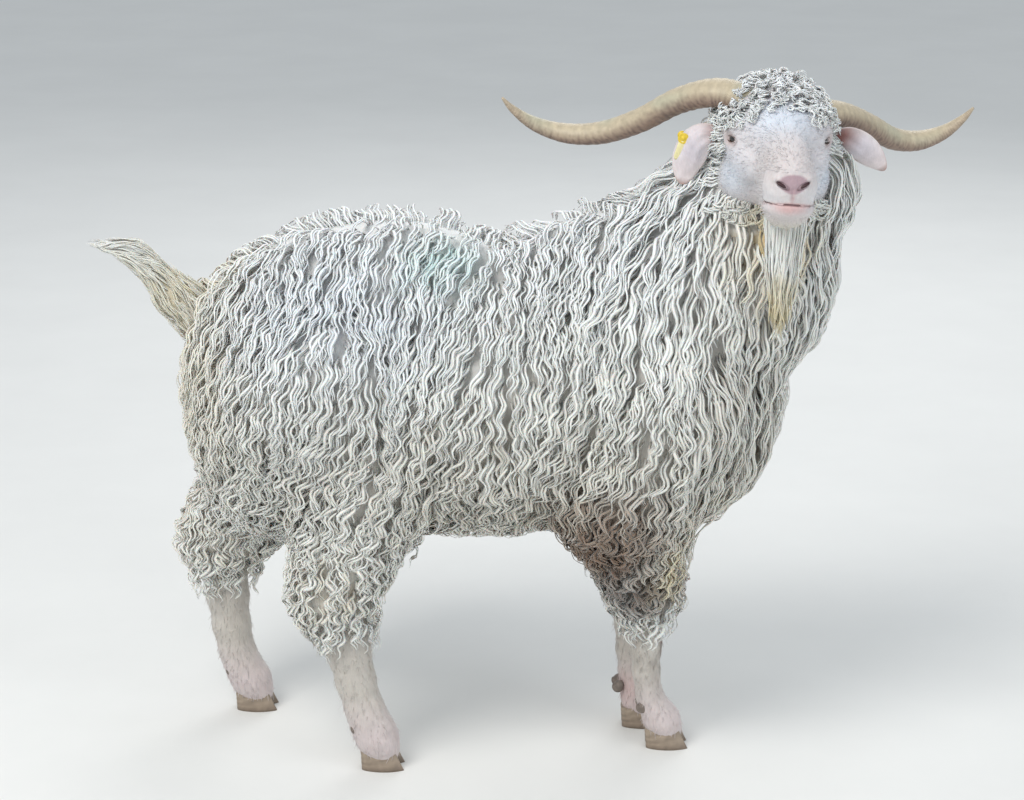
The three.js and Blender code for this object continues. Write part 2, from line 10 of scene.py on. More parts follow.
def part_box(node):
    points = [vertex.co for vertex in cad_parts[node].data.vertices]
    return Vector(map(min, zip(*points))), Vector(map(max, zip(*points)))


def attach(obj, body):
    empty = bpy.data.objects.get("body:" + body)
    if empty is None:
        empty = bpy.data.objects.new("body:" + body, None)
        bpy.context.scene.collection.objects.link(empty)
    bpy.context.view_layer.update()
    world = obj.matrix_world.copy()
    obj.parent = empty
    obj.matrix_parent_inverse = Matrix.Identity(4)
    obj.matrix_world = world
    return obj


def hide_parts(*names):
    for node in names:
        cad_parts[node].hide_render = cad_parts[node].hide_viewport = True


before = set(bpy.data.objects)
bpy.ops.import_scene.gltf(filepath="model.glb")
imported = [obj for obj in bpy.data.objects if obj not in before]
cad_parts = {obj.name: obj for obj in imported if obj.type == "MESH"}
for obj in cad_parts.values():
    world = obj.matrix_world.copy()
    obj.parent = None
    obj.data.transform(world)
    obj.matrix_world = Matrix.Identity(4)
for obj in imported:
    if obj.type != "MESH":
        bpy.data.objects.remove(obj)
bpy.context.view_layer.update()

MM = 0.001
UP = np.array([0.0, 0.0, 1.0])
rng = np.random.default_rng(11)

# Driving dimensions
BLEND = 30.0  # how softly the masses of flesh run into each other
HEAD_BLEND = 12.0
LEG_BLEND = 10.0
NECK_BLEND = 24.0
SKIN_SHARE = 0.5  # how far the skin and its underwool reach towards the coat's tips
FLEECE = 45.0
SKIN_VOXEL = 7.0
SOLE_CLEAR = 3.0  # how far skin and hair stay above the ground
GROUP_MARGIN = 110.0  # how far round a group of masses they still shape the surface
FACE_REACH = 90.0
TUFT_PATCH = 0.003  # the size of one tuft's patch on the unwrap
PIECE_LIMIT = 190_000  # triangles of one coat piece
TAPER = (0.7, 1.0, 1.0, 0.95, 0.8, 0.55, 0.2)  # a strand's girth from root to tip
EYE_R = 13.5
EYE_AT = np.array([48.0, 1.0, 2.5])
EYE_OUTWARD = math.radians(55)
SLIT_TURN = math.radians(42)
SLIT_RISE = math.radians(14)

# The head's own frame: origin between the eyes, facing +Y, its right side at +X
HEAD_AT = Vector((327, -114, 828))
HEAD_TURN = math.radians(182.1)
HEAD_NOD = math.radians(-2.2)
HEAD_TILT = math.radians(-1.6)
HEAD_AXES = np.array(
    Matrix.Rotation(HEAD_TURN, 3, "Z")
    @ Matrix.Rotation(HEAD_NOD, 3, "X")
    @ Matrix.Rotation(HEAD_TILT, 3, "Y")
)


def from_head(q):
    return np.asarray(q, float) @ HEAD_AXES.T + np.array(HEAD_AT)


def to_head(p):
    return (np.asarray(p, float) - np.array(HEAD_AT)) @ HEAD_AXES


eye_low, eye_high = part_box("eye_right")
SHIFT = np.array((eye_low + eye_high) / 2) / MM - from_head(EYE_AT)  # from this frame to the model's own

# Legs: joints from the shoulder or hip down to the foot, and the flesh and coat at each
LEGS = {
    "foreleg_right": {
        "joints": [(190, -85, 470), (140, -95, 365), (176, -58, 222), (181, -45, 75), (205, -42, 24)],
        "girths": [70, 48, 26],
        "coats": [48, 40, 26],
        "lower": [25, 24, 18, 17, 16, 18, 23, 21],
    },
    "foreleg_left": {
        "joints": [(170, 85, 470), (120, 90, 365), (158, 45, 222), (161, 35, 75), (176, 32, 24)],
        "girths": [70, 48, 26],
        "coats": [48, 40, 26],
        "lower": [25, 24, 18, 17, 16, 18, 23, 21],
    },
    "hindleg_right": {
        "joints": [(-240, -75, 490), (-190, -95, 390), (-228, -115, 245), (-193, -115, 85), (-168, -115, 24)],
        "girths": [105, 60, 32],
        "coats": [45, 36, 34],
        "lower": [32, 31, 27, 24, 24, 25, 27, 22],
    },
    "hindleg_left": {
        "joints": [(-280, 75, 490), (-275, 90, 390), (-392, 92, 252), (-376, 92, 85), (-349, 92, 24)],
        "girths": [105, 60, 32],
        "coats": [45, 38, 34],
        "lower": [31, 30, 27, 24, 23, 24, 26, 22],
    },
}


# Smooth curves through points, and values along them
def smooth_curve(points, ts):
    """Points at ts (0 to 1) of a centripetal Catmull-Rom curve."""
    pts = np.asarray(points, float)
    ends = np.vstack([2 * pts[0] - pts[1], pts, 2 * pts[-1] - pts[-2]])
    at = np.clip(np.asarray(ts, float), 0, 1) * (len(pts) - 1)
    i = np.minimum(at.astype(int), len(pts) - 2)
    w = (at - i)[:, None]
    p0, p1, p2, p3 = (ends[i + k] for k in range(4))
    d0, d1, d2 = (
        np.maximum(np.sqrt(np.linalg.norm(b - a, axis=1)), 1e-4)[:, None]
        for a, b in ((p0, p1), (p1, p2), (p2, p3))
    )
    m1 = ((p1 - p0) / d0 - (p2 - p0) / (d0 + d1) + (p2 - p1) / d1) * d1
    m2 = ((p2 - p1) / d1 - (p3 - p1) / (d1 + d2) + (p3 - p2) / d2) * d1
    return (
        p1
        + m1 * w
        + (-3 * p1 + 3 * p2 - 2 * m1 - m2) * w**2
        + (2 * p1 - 2 * p2 + m1 + m2) * w**3
    )


def sampled(values, ts):
    return np.interp(ts, np.linspace(0, 1, len(values)), values)


def unit(v):
    return v / np.maximum(np.linalg.norm(v, axis=-1, keepdims=True), 1e-9)


# Masses of flesh: a cone with round ends, or an egg. Each has the depth of the coat over it
def cone(a, b, radius_a, radius_b, coat_a, coat_b=None):
    coat_b = coat_a if coat_b is None else coat_b
    return {
        "a": np.array(a, float),
        "b": np.array(b, float),
        "r": (radius_a, radius_b),
        "coat": (coat_a, coat_b),
    }


def egg(centre, radii, coat, pitch=0.0):
    centre, radii = np.array(centre, float), np.array(radii, float)
    return {"centre": centre, "radii": radii, "coat": coat, "pitch": pitch}


TORSO = [
    egg((-30, 0, 483), (270, 150, 148), FLEECE),
    egg((150, 0, 480), (155, 120, 158), 48),
    egg((-245, 0, 520), (140, 125, 130), FLEECE),
    egg((-305, 0, 455), (80, 115, 130), 40),
    egg((-165, 0, 600), (150, 80, 78), FLEECE, math.radians(3)),
    egg((140, 0, 618), (125, 58, 72), FLEECE),
    egg((225, 0, 465), (68, 80, 90), 50),
]
NECK = [
    cone((180, 0, 540), (270, 5, 640), 115, 98, 50),
    cone((270, 5, 640), (334, -12, 756), 100, 68, 50, 40),
]
TAIL = [
    cone((-370, 0, 560), (-435, 0, 600), 28, 15, 18, 10),
    cone((-435, 0, 600), (-480, 0, 662), 15, 9, 10, 8),
]
HEAD = [
    egg((0, -55, 4), (55, 72, 46), 28),
    egg((0, 0, 8), (50, 50, 38), 10),
    *(egg((s * 46, -4, 4), (20, 24, 20), 2) for s in (-1, 1)),
    *(egg((s * 32, -24, -50), (30, 48, 30), 10) for s in (-1, 1)),
    *(egg((s * 37, 6, -24), (22, 42, 28), 3) for s in (-1, 1)),
    cone((0, 20, 6), (0, 128, -6), 32, 22, 2),
    cone((0, 30, -22), (0, 115, -26), 36, 26, 2),
    cone((0, -20, -56), (0, 100, -58), 28, 18, 8, 3),
    egg((0, 125, -26), (31, 28, 26), 2),
    egg((0, 111, -60), (26, 24, 19), 3),
    egg((0, 126, -54), (22, 22, 12), 1),
]
LOWER_RINGS = 9
LOWER_HAIR = 1.5  # the depth of the short hair over the lower legs


def chain(line, radii, coats):
    """Cones from each point of a line to the next."""
    return [cone(line[i], line[i + 1], *radii[i : i + 2], *coats[i : i + 2]) for i in range(len(line) - 1)]


def upper_leg(leg):
    return chain(leg["joints"][:3], leg["girths"], leg["coats"])


def lower_leg(leg):
    ts = np.linspace(0, 1, LOWER_RINGS)
    girths = sampled(leg["lower"], ts) - LOWER_HAIR
    return chain(smooth_curve(leg["joints"][2:], ts), girths, [2] * LOWER_RINGS)


# Distance fields. Points are rows of an array
def mass_distance(mass, p, share):
    if "centre" in mass:
        x, y, z = (p - mass["centre"]).T
        c, s = math.cos(mass["pitch"]), math.sin(mass["pitch"])
        grown = mass["radii"] + mass["coat"] * share
        inside = np.stack([x * c + z * s, y, z * c - x * s], 1) / grown
        near = np.linalg.norm(inside, axis=1)
        return near * (near - 1) / np.maximum(np.linalg.norm(inside / grown, axis=1), 1e-6)
    line = mass["b"] - mass["a"]
    t = np.clip((p - mass["a"]) @ line / (line @ line), 0, 1)
    radius = mass["r"][0] + (mass["r"][1] - mass["r"][0]) * t
    radius = radius + share * (mass["coat"][0] + (mass["coat"][1] - mass["coat"][0]) * t)
    return np.linalg.norm(p - mass["a"] - t[:, None] * line, axis=1) - radius


def blended(a, b, blend):
    h = np.clip(0.5 + 0.5 * (a - b) / blend, 0, 1)
    return a + (b - a) * h - blend * h * (1 - h)


def masses_distance(masses, p, share, blend):
    whole = mass_distance(masses[0], p, share)
    for mass in masses[1:]:
        whole = blended(whole, mass_distance(mass, p, share), blend)
    return whole


def reach_box(mass):
    """The corners of the box round a mass without its coat."""
    if "centre" in mass:
        return mass["centre"] - mass["radii"], mass["centre"] + mass["radii"]
    thick = max(mass["r"])
    return np.minimum(mass["a"], mass["b"]) - thick, np.maximum(mass["a"], mass["b"]) + thick


def group(masses, inner, outer):
    """Masses that blend softly inside and more tightly with the rest, with the box that they can reach."""
    boxes = np.array([reach_box(mass) for mass in masses])
    low = boxes[:, 0].min(0) - GROUP_MARGIN
    high = boxes[:, 1].max(0) + GROUP_MARGIN
    return {"masses": masses, "inner": inner, "outer": outer, "low": low, "high": high}


NECK_AND_TAIL = [group(NECK, BLEND, 16), group(TAIL, HEAD_BLEND, 16)]
UPPER_LEGS = [group(upper_leg(leg), BLEND, 16) for leg in LEGS.values()]
LOWER_LEGS = [group(lower_leg(leg), LEG_BLEND, LEG_BLEND) for leg in LEGS.values()]


def coat_distance(p, share):
    """Distance to the body and head without the face's details, out to a share of the coat."""
    whole = masses_distance(TORSO, p, share, BLEND)
    for part in NECK_AND_TAIL + UPPER_LEGS + LOWER_LEGS:
        near = ((p > part["low"]) & (p < part["high"])).all(1)
        if near.any():
            there = masses_distance(part["masses"], p[near], share, part["inner"])
            whole[near] = blended(whole[near], there, part["outer"])
    near = np.linalg.norm(p - np.array(HEAD_AT), axis=1) < 330
    if near.any():
        there = masses_distance(HEAD, to_head(p[near]), share, HEAD_BLEND)
        whole[near] = blended(whole[near], there, NECK_BLEND)
    return whole


def gradient(distance, p, here=None, step=0.5):
    here = distance(p) if here is None else here
    slopes = [distance(p + step * axis) - here for axis in np.eye(3)]
    return np.stack(slopes, 1) / step


# The face's details, in the head's frame
MOUTH_LINE = [(-28, 110, -51), (-20, 137, -47), (0, 150, -43.5), (20, 137, -45), (28, 110, -47)]
MOUTH = smooth_curve(MOUTH_LINE, np.linspace(0, 1, 13))
NOSTRIL_AT = np.array([12.0, 149.5, -20.0])
NOSTRIL_R = np.array([8.4, 10.0, 3.2])
NOSTRIL_LEAN = 0.45


def mirrored_x(q):
    return np.column_stack([np.abs(q[:, 0]), q[:, 1:]])


def tube_distance(q, line, radius):
    n = len(line)
    return masses_distance(chain(line, [radius] * n, [0] * n), q, 0, 0.5)


def hollowed(whole, hole, blend):
    return -blended(-whole, hole, blend)


def turned(q, angle, first, second):
    """Points turned in the plane of two axes, from the first towards the second."""
    c, s = math.cos(angle), math.sin(angle)
    out = np.array(q, float)
    out[:, first] = q[:, first] * c - q[:, second] * s
    out[:, second] = q[:, first] * s + q[:, second] * c
    return out


def over_eye(turn, rise, height):
    """Points over the right eyeball, by their turn along the slit and rise above it."""
    angle = EYE_OUTWARD + np.asarray(turn, float)
    level = np.cos(rise)
    way = np.stack([np.sin(angle) * level, np.cos(angle) * level, np.sin(rise) + 0 * angle], -1)
    return way * (EYE_R + height) + EYE_AT


def egg_distance(q, centre, radii):
    return mass_distance(egg(centre, radii, 0), q, 0)


def face_details(q, whole):
    m = mirrored_x(q)
    brow = egg_distance(m, (40, 6, 21), (19, 15, 7))
    whole = blended(whole, brow, 9)
    cheekbone = egg_distance(m, (47, 18, -16), (9, 26, 8))
    whole = blended(whole, cheekbone, 12)
    opening = turned(m - over_eye(0, 0, 1.0), EYE_OUTWARD, 0, 1)
    whole = hollowed(whole, egg_distance(opening, (0, 10, 0), (15, 13, 9.5)), 4)
    socket = np.linalg.norm(m - EYE_AT, axis=1) - EYE_R + 1.3
    whole = blended(whole, socket, 1)
    wing = egg_distance(m, (15, 141, -13), (9, 9, 5))
    whole = blended(whole, wing, 5)
    for back, rise, radius in ((-6.5, 4.2, 4.6), (-6.0, -5.6, 6.0)):
        whole = blended(whole, tube_distance(q, MOUTH + np.array([0, back, rise]), radius), 6)
    whole = hollowed(whole, tube_distance(q, MOUTH + np.array([0, 0.6, 0]), 1.3), 1.6)
    nostril = egg_distance(turned(m - NOSTRIL_AT, -NOSTRIL_LEAN, 0, 2), (0, 0, 0), NOSTRIL_R)
    whole = hollowed(whole, nostril, 1.6)
    groove = tube_distance(q, np.array([(0, 155, -24), (0, 154, -36), (0, 152, -43)]), 1.5)
    return hollowed(whole, groove, 1.6)


def skin_distance(p):
    whole = coat_distance(p, SKIN_SHARE)
    q = to_head(p)
    face = (np.abs(whole) < 25) & (q[:, 1] > -40) & (np.abs(q[:, 0]) < FACE_REACH) & (q[:, 1] < 190)
    if face.any():
        whole[face] = face_details(q[face], whole[face])
    return whole


def projected(points, distance, rounds, longest=4.0):
    p = points.copy()
    for _ in range(rounds):
        here = distance(p)
        g = gradient(distance, p, here)
        step = (-here / np.maximum((g * g).sum(1), 0.25))[:, None] * g
        size = np.linalg.norm(step, axis=1, keepdims=True)
        p += step * np.minimum(1, longest / np.maximum(size, 1e-9))
    return p


# Meshes
def mesh_object(name, points, quads, tris=(), uvs=None, colours=None, smooth=True):
    """A mesh in metres from points in millimetres. uvs are per corner, colours per point."""
    quads = np.asarray(quads, np.int32).reshape(-1, 4)
    tris = np.asarray(tris, np.int32).reshape(-1, 3)
    mesh = bpy.data.meshes.new(name)
    mesh.vertices.add(len(points))
    mesh.vertices.foreach_set("co", ((np.asarray(points) + SHIFT) * MM).astype(np.float32).ravel())
    corners = np.concatenate([quads.ravel(), tris.ravel()])
    mesh.loops.add(len(corners))
    mesh.loops.foreach_set("vertex_index", corners)
    starts = np.concatenate([np.arange(len(quads)) * 4, len(quads) * 4 + np.arange(len(tris)) * 3])
    mesh.polygons.add(len(starts))
    mesh.polygons.foreach_set("loop_start", starts.astype(np.int32))
    mesh.update(calc_edges=True)
    mesh.validate()
    mesh.polygons.foreach_set("use_smooth", np.full(len(mesh.polygons), smooth))
    if uvs is not None:
        layer = mesh.uv_layers.new(name="OFBake")
        layer.data.foreach_set("uv", uvs.astype(np.float32).ravel())
    if colours is not None:
        paint(mesh, colours)
    piece = bpy.data.objects.new(name, mesh)
    bpy.context.scene.collection.objects.link(piece)
    return piece


def paint(mesh, colours):
    layer = mesh.color_attributes.new("coat_colour", "FLOAT_COLOR", "POINT")
    rgba = np.column_stack([colours, np.ones(len(colours))])
    layer.data.foreach_set("color", rgba.astype(np.float32).ravel())


def points_of(mesh):
    co = np.empty(len(mesh.vertices) * 3, np.float32)
    mesh.vertices.foreach_get("co", co)
    return co.reshape(-1, 3).astype(float) / MM - SHIFT


def set_points(mesh, points):
    mesh.vertices.foreach_set("co", ((points + SHIFT) * MM).astype(np.float32).ravel())
    mesh.update()


def ring_tube(line, radii, sides, face, flatness=1.0):
    """Points and faces of a closed tube along a line, with a cap of triangles at each end."""
    line = np.asarray(line, float)
    tangent = unit(np.gradient(line, axis=0))
    side = unit(np.cross(tangent, face))
    up = np.cross(tangent, side)
    turn = np.linspace(0, 2 * math.pi, sides, endpoint=False)
    ring = (
        side[:, None] * np.cos(turn)[None, :, None]
        + up[:, None] * np.sin(turn)[None, :, None] * np.reshape(flatness, (-1, 1, 1))
    )
    points = (line[:, None] + ring * np.reshape(radii, (-1, 1, 1))).reshape(-1, 3)
    return np.vstack([points, line[:1], line[-1:]]), *tube_faces(len(line), sides)


def tube_faces(rings, sides):
    """Faces between rings of points, and fans from the end rings to the two points that follow them."""
    i, j = np.meshgrid(np.arange(rings - 1), np.arange(sides), indexing="ij")
    a = i * sides + j
    b = i * sides + (j + 1) % sides
    quads = np.stack([a, b, b + sides, a + sides], -1).reshape(-1, 4)
    k = np.arange(sides)
    after = (k + 1) % sides
    first, last = np.full((2, sides), rings * sides) + np.array([[0], [1]])
    end = (rings - 1) * sides
    tris = np.vstack([np.stack([first, after, k], 1), np.stack([last, end + k, end + after], 1)])
    return quads, tris


def outward(piece):
    """Turns every face of a closed mesh to point out."""
    shape = bmesh.new()
    shape.from_mesh(piece.data)
    bmesh.ops.recalc_face_normals(shape, faces=shape.faces)
    shape.to_mesh(piece.data)
    shape.free()
    return piece


# Markings and painted light: stains and shades of the coat by place, the same on the skin and on the locks.
# The top is painted whiter and bluish as painted light, and the lower flank and chest darker as painted shade
CREAM = np.array([0.85, 0.835, 0.78])
WHITE = np.array([0.93, 0.935, 0.93])
STAINS_AND_PAINTED_LIGHT = [
    # centre, reach, colour, strength, how patchy
    # painted light from above: the top of the back, the crest of the neck and the topknot are painted whiter,
    # and the upper rear flank bluish white as under the sky
    ((-60, 0, 700), (460, 190, 130), WHITE, 0.9, 0.2),
    ((-230, -130, 590), (160, 90, 110), (0.86, 0.90, 0.96), 0.6, 0.3),
    ((260, -40, 700), (110, 120, 110), WHITE, 0.5, 0.3),
    ((327, -100, 905), (130, 130, 60), (1.0, 1.0, 0.99), 1.0, 0.1),
    ((-85, -95, 667), (46, 60, 30), (0.50, 0.78, 0.74), 0.5, 0.4),
    ((120, -60, 340), (300, 140, 40), (0.58, 0.50, 0.37), 0.5, 0.6),
    ((-385, -20, 500), (70, 140, 110), (0.76, 0.64, 0.44), 0.5, 0.4),
    ((-440, 0, 620), (75, 60, 80), (0.78, 0.70, 0.50), 0.75, 0.4),
    ((-225, -115, 250), (60, 70, 60), (0.68, 0.56, 0.38), 0.45, 0.8),
    ((-390, 92, 260), (60, 70, 60), (0.68, 0.56, 0.38), 0.45, 0.8),
    ((122, -115, 322), (62, 110, 60), (0.17, 0.10, 0.06), 1.9, 0.3),
    ((166, -70, 236), (50, 90, 34), (0.13, 0.10, 0.085), 1.5, 0.4),
    ((214, -120, 262), (34, 44, 44), (0.84, 0.70, 0.46), 0.7, 0.6),
    ((140, 60, 270), (50, 60, 60), (0.30, 0.21, 0.14), 0.9, 0.6),
    # the lower flank is painted darker, partly its own taupe and partly painted shade; the chest is painted
    # darker as painted shade
    ((20, -120, 410), (420, 130, 90), (0.62, 0.56, 0.46), 0.5, 0.4),
    ((300, -120, 480), (90, 130, 130), (0.66, 0.62, 0.55), 0.5, 0.3),
    ((322, -150, 700), (60, 70, 60), (0.60, 0.46, 0.22), 0.8, 0.7),
    ((340, -205, 612), (36, 46, 50), (0.70, 0.58, 0.36), 0.7, 0.4),
]


def ripple(p, wave, seed):
    """Soft noise from -1 to 1, from a few crossing waves."""
    draw = np.random.default_rng(seed)
    total = 0
    for _ in range(6):
        way = unit(draw.normal(size=3)) * 2 * math.pi / (wave * draw.uniform(0.6, 1.6))
        total = total + np.sin(p @ way + draw.uniform(0, 6.3) + 1.5 * np.sin(p @ way[[2, 0, 1]] * 0.7))
    return total / 3.2


def markings_and_painted_light(p):
    colour = CREAM + np.zeros((len(p), 3))
    for i, (centre, reach, tint, strength, patchy) in enumerate(STAINS_AND_PAINTED_LIGHT):
        away = (((p - np.array(centre)) / np.array(reach)) ** 2).sum(1)
        patches = 1 + patchy * ripple(p, 22, 40 + i)
        share = np.clip(strength * np.exp(-away) * patches, 0, 1)[:, None]
        colour = colour + (np.array(tint) - colour) * share
    return colour * (1 + 0.05 * ripple(p, 45, 3) + 0.04 * ripple(p, 14, 4))[:, None]


FACE_SKIN = np.array([0.64, 0.585, 0.58])
FACE_WHITE = np.array([0.66, 0.70, 0.77])
NOSE_PINK = np.array([0.42, 0.30, 0.33])
# nearly black: painted shade in the nostrils and between the lips
RECESS_SHADE_PINK = np.array([0.09, 0.03, 0.035])
LIP_PINK = np.array([0.60, 0.36, 0.35])
FACE_TINTS = [
    # colour, centre on the right half of the face, reach, strength
    (FACE_WHITE, (0, 30, 38), (50, 52, 34), 1.2),
    (FACE_WHITE, (62, 20, -40), (30, 60, 34), 1.0),
    ((0.74, 0.74, 0.76), (22, 125, -36), (16, 30, 14), 0.8),
    ((0.70, 0.67, 0.58), (0, 110, -78), (34, 40, 12), 0.8),
    ((0.52, 0.47, 0.20), (0, 84, -86), (26, 30, 12), 0.8),
]
LEG_CREAM = np.array([0.56, 0.52, 0.47])
FOOT_PINK = np.array([0.62, 0.54, 0.53])


def near(q, centre, reach):
    return np.exp(-(((q - np.array(centre)) / np.array(reach)) ** 2).sum(1))


def mixed(colour, tint, share):
    return colour + (np.asarray(tint) - colour) * np.clip(share, 0, 1)[:, None]


def nose_pad(q):
    """How far a point is on the bare nose, from 0 to 1."""
    wide = 20 - 0.7 * np.maximum(0, -20 - q[:, 2])
    oval = 1 - (q[:, 0] / np.maximum(wide, 4)) ** 2 - ((q[:, 2] + 18) / 13) ** 2
    return np.clip(oval * 3, 0, 1) * np.clip((q[:, 1] - 128) / 8, 0, 1)


def skin_colours(p):
    # the skin under the fleece is painted darker (0.84) as painted shade between the locks
    colour = markings_and_painted_light(p) * 0.84
    q = to_head(p)
    m = mirrored_x(q)
    face = np.clip((q[:, 1] + 36) / 20, 0, 1) * (np.abs(q[:, 0]) < 92) * (q[:, 2] > -100)
    bare = FACE_SKIN + np.zeros((len(p), 3))
    for tint, centre, reach, strength in FACE_TINTS:
        bare = mixed(bare, tint, near(m, centre, reach) * strength)
    bare = mixed(bare, NOSE_PINK, nose_pad(q))
    # the nostril slits are painted nearly black: painted shade in their hollows
    lean = (m - NOSTRIL_AT) @ np.array([math.sin(-NOSTRIL_LEAN), 0, math.cos(NOSTRIL_LEAN)])
    slot = (lean / 3.4) ** 2 + ((m[:, 0] - NOSTRIL_AT[0]) / 8.5) ** 2 + ((m[:, 1] - 150) / 12) ** 2
    slot = np.exp(-slot)
    bare = mixed(bare, RECESS_SHADE_PINK, np.clip(2.6 * slot - 0.6, 0, 1))
    bare = mixed(bare, LIP_PINK, near(q, (2, 148, -49), (22, 16, 6)) * 0.8)
    # a darker line down the groove under the nose: painted shade in the crease
    bare = mixed(bare, (0.44, 0.26, 0.27), near(q, (0, 154, -35), (3, 9, 6)) * 0.7)
    bare = mixed(bare, LIP_PINK, np.clip(-tube_distance(q, MOUTH, 4.6) / 3, 0, 1) * 0.6)
    # a nearly black line along the mouth: painted shade in the gap between the lips
    bare = mixed(bare, RECESS_SHADE_PINK, np.clip(-tube_distance(q, MOUTH, 2.0) / 1.2, 0, 1) * 0.8)
    # darker round the eye: partly its pinkish-brown skin, partly painted shade under the brow and in the
    # socket
    eye_gap = np.linalg.norm((m - over_eye(0, 0, 2)) * np.array([1, 1, 1.5]), axis=1)
    bare = mixed(bare, (0.44, 0.33, 0.31), np.clip(1.5 - eye_gap / 12, 0, 1) * 0.75)
    bare = mixed(bare, (0.42, 0.30, 0.27), near(m, (50, 17, -4), (6, 8, 4)) * 0.5)
    bare = bare * (1 + 0.035 * ripple(p, 11, 8) + 0.02 * ripple(p, 4, 9))[:, None]
    colour = mixed(colour, bare, face)
    low = np.clip((215 - p[:, 2]) / 50, 0, 1)
    leg = mixed(LEG_CREAM + np.zeros((len(p), 3)), FOOT_PINK, np.clip((110 - p[:, 2]) / 60, 0, 1))
    streak = np.clip(0.55 + ripple(p * np.array([1, 1, 0.22]), 11, 5), 0, 1)
    leg = mixed(leg, (0.16, 0.12, 0.10), near(p, (192, -52, 165), (26, 18, 62)) * streak * 1.2)
    leg = mixed(leg, (0.26, 0.19, 0.15), near(p, (168, 30, 180), (26, 26, 40)) * streak)
    leg = mixed(leg, (0.60, 0.36, 0.33), near(p, (165, 30, 52), (30, 20, 26)) * 0.7)
    leg = leg * (1 + 0.05 * ripple(p, 18, 12) + 0.04 * ripple(p, 6, 13))[:, None]
    return np.clip(mixed(colour, leg, low), 0, 1)


# Skin
BALL_SPACING = 20.0
# Boxes of the head where the mesh is split finer, with the cuts. The second is only for the eyes and nose
FACE_BOX = ((-90, -10, -90), (90, 175, 60), 3)
FINE_BOX = ((-70, -18, -60), (70, 165, 16), 1)
EYE_FINE_REACH = 24.0
NOSE_FROM = 118.0


def primitives():
    """Rough capsules and eggs that the remesh joins into one surface."""
    shape = bmesh.new()
    parts = [TORSO] + [part["masses"] for part in NECK_AND_TAIL + UPPER_LEGS + LOWER_LEGS]
    groups = [(m, np.eye(3), np.zeros(3)) for masses in parts for m in masses]
    groups += [(m, HEAD_AXES, np.array(HEAD_AT)) for m in HEAD]
    for mass, axes, origin in groups:
        if "centre" in mass:
            balls = [(mass["centre"], mass["radii"] + mass["coat"] * SKIN_SHARE)]
        else:
            line = mass["b"] - mass["a"]
            ends = np.array(mass["r"]) + np.array(mass["coat"]) * SKIN_SHARE
            steps = np.linspace(0, 1, 2 + int(np.linalg.norm(line) / BALL_SPACING))
            balls = [(mass["a"] + line * t, np.full(3, np.interp(t, (0, 1), ends))) for t in steps]
        for centre, radii in balls:
            made = bmesh.ops.create_icosphere(shape, subdivisions=2 + ("centre" in mass), radius=1.0)
            place = Matrix(axes).to_4x4() @ Matrix.Diagonal((*radii, 1.0))
            place.translation = Vector((axes @ centre + origin))
            bmesh.ops.transform(shape, matrix=place, verts=made["verts"])
    mesh = bpy.data.meshes.new("skin")
    shape.to_mesh(mesh)
    shape.free()
    set_points(mesh, np.array([v.co for v in mesh.vertices]))
    piece = bpy.data.objects.new("skin", mesh)
    bpy.context.scene.collection.objects.link(piece)
    return piece


def applied(piece):
    """Applies the modifiers of a piece to its mesh."""
    graph = bpy.context.evaluated_depsgraph_get()
    done = bpy.data.meshes.new_from_object(piece.evaluated_get(graph))
    piece.modifiers.clear()
    piece.data = done
    return piece


def make_skin():
    piece = primitives()
    remesh = piece.modifiers.new("remesh", "REMESH")
    remesh.mode = "VOXEL"
    remesh.voxel_size = SKIN_VOXEL * MM
    applied(piece)
    set_points(piece.data, projected(points_of(piece.data), lambda p: coat_distance(p, SKIN_SHARE), 4))
    shape = bmesh.new()
    shape.from_mesh(piece.data)
    for box in (FACE_BOX, FINE_BOX):
        low, high, cuts = box
        q = to_head(np.array([v.co for v in shape.verts]) / MM - SHIFT)
        inside = ((q > low) & (q < high)).all(1)
        shape.verts.ensure_lookup_table()
        if box is FINE_BOX:
            from_eye = np.linalg.norm(mirrored_x(q) - over_eye(0, 0, 0), axis=1)
            inside &= (from_eye < EYE_FINE_REACH) | (q[:, 1] > NOSE_FROM)
        chosen = [e for e in shape.edges if inside[e.verts[0].index] and inside[e.verts[1].index]]
        bmesh.ops.subdivide_edges(shape, edges=chosen, cuts=cuts, use_grid_fill=True)
        shape.verts.index_update()
    shape.to_mesh(piece.data)
    shape.free()
    points = projected(points_of(piece.data), skin_distance, 6, longest=2.0)
    points[:, 2] = np.maximum(points[:, 2], SOLE_CLEAR)
    set_points(piece.data, points)
    piece.data.polygons.foreach_set("use_smooth", np.ones(len(piece.data.polygons), bool))
    paint(piece.data, skin_colours(points_of(piece.data)))
    return piece


# Materials
def shader(name, roughness, sheen=0.0, coat=0.0, specular=0.5, subsurface=0.0):
    material = bpy.data.materials.new(name)
    material.use_nodes = True
    tree = material.node_tree
    base = tree.nodes["Principled BSDF"]
    base.inputs["Roughness"].default_value = roughness
    base.inputs["Sheen Weight"].default_value = sheen
    base.inputs["Sheen Roughness"].default_value = 0.5
    base.inputs["Coat Weight"].default_value = coat
    base.inputs["Coat Roughness"].default_value = 0.08
    base.inputs["Specular IOR Level"].default_value = specular
    base.inputs["Subsurface Weight"].default_value = subsurface
    base.inputs["Subsurface Radius"].default_value = (0.6, 0.3, 0.2)
    base.inputs["Subsurface Scale"].default_value = 0.006
    return material, tree, base


def linked(tree, kind, inputs=(), **settings):
    node = tree.nodes.new(kind)
    for key, value in settings.items():
        setattr(node, key, value)
    for key, value in inputs:
        if isinstance(value, bpy.types.NodeSocket):
            tree.links.new(value, node.inputs[key])
        else:
            node.inputs[key].default_value = value
    return node


def stretched(tree, scale):
    place = linked(tree, "ShaderNodeTexCoord")
    return linked(tree, "ShaderNodeMapping", [("Vector", place.outputs["Object"]), ("Scale", scale)])


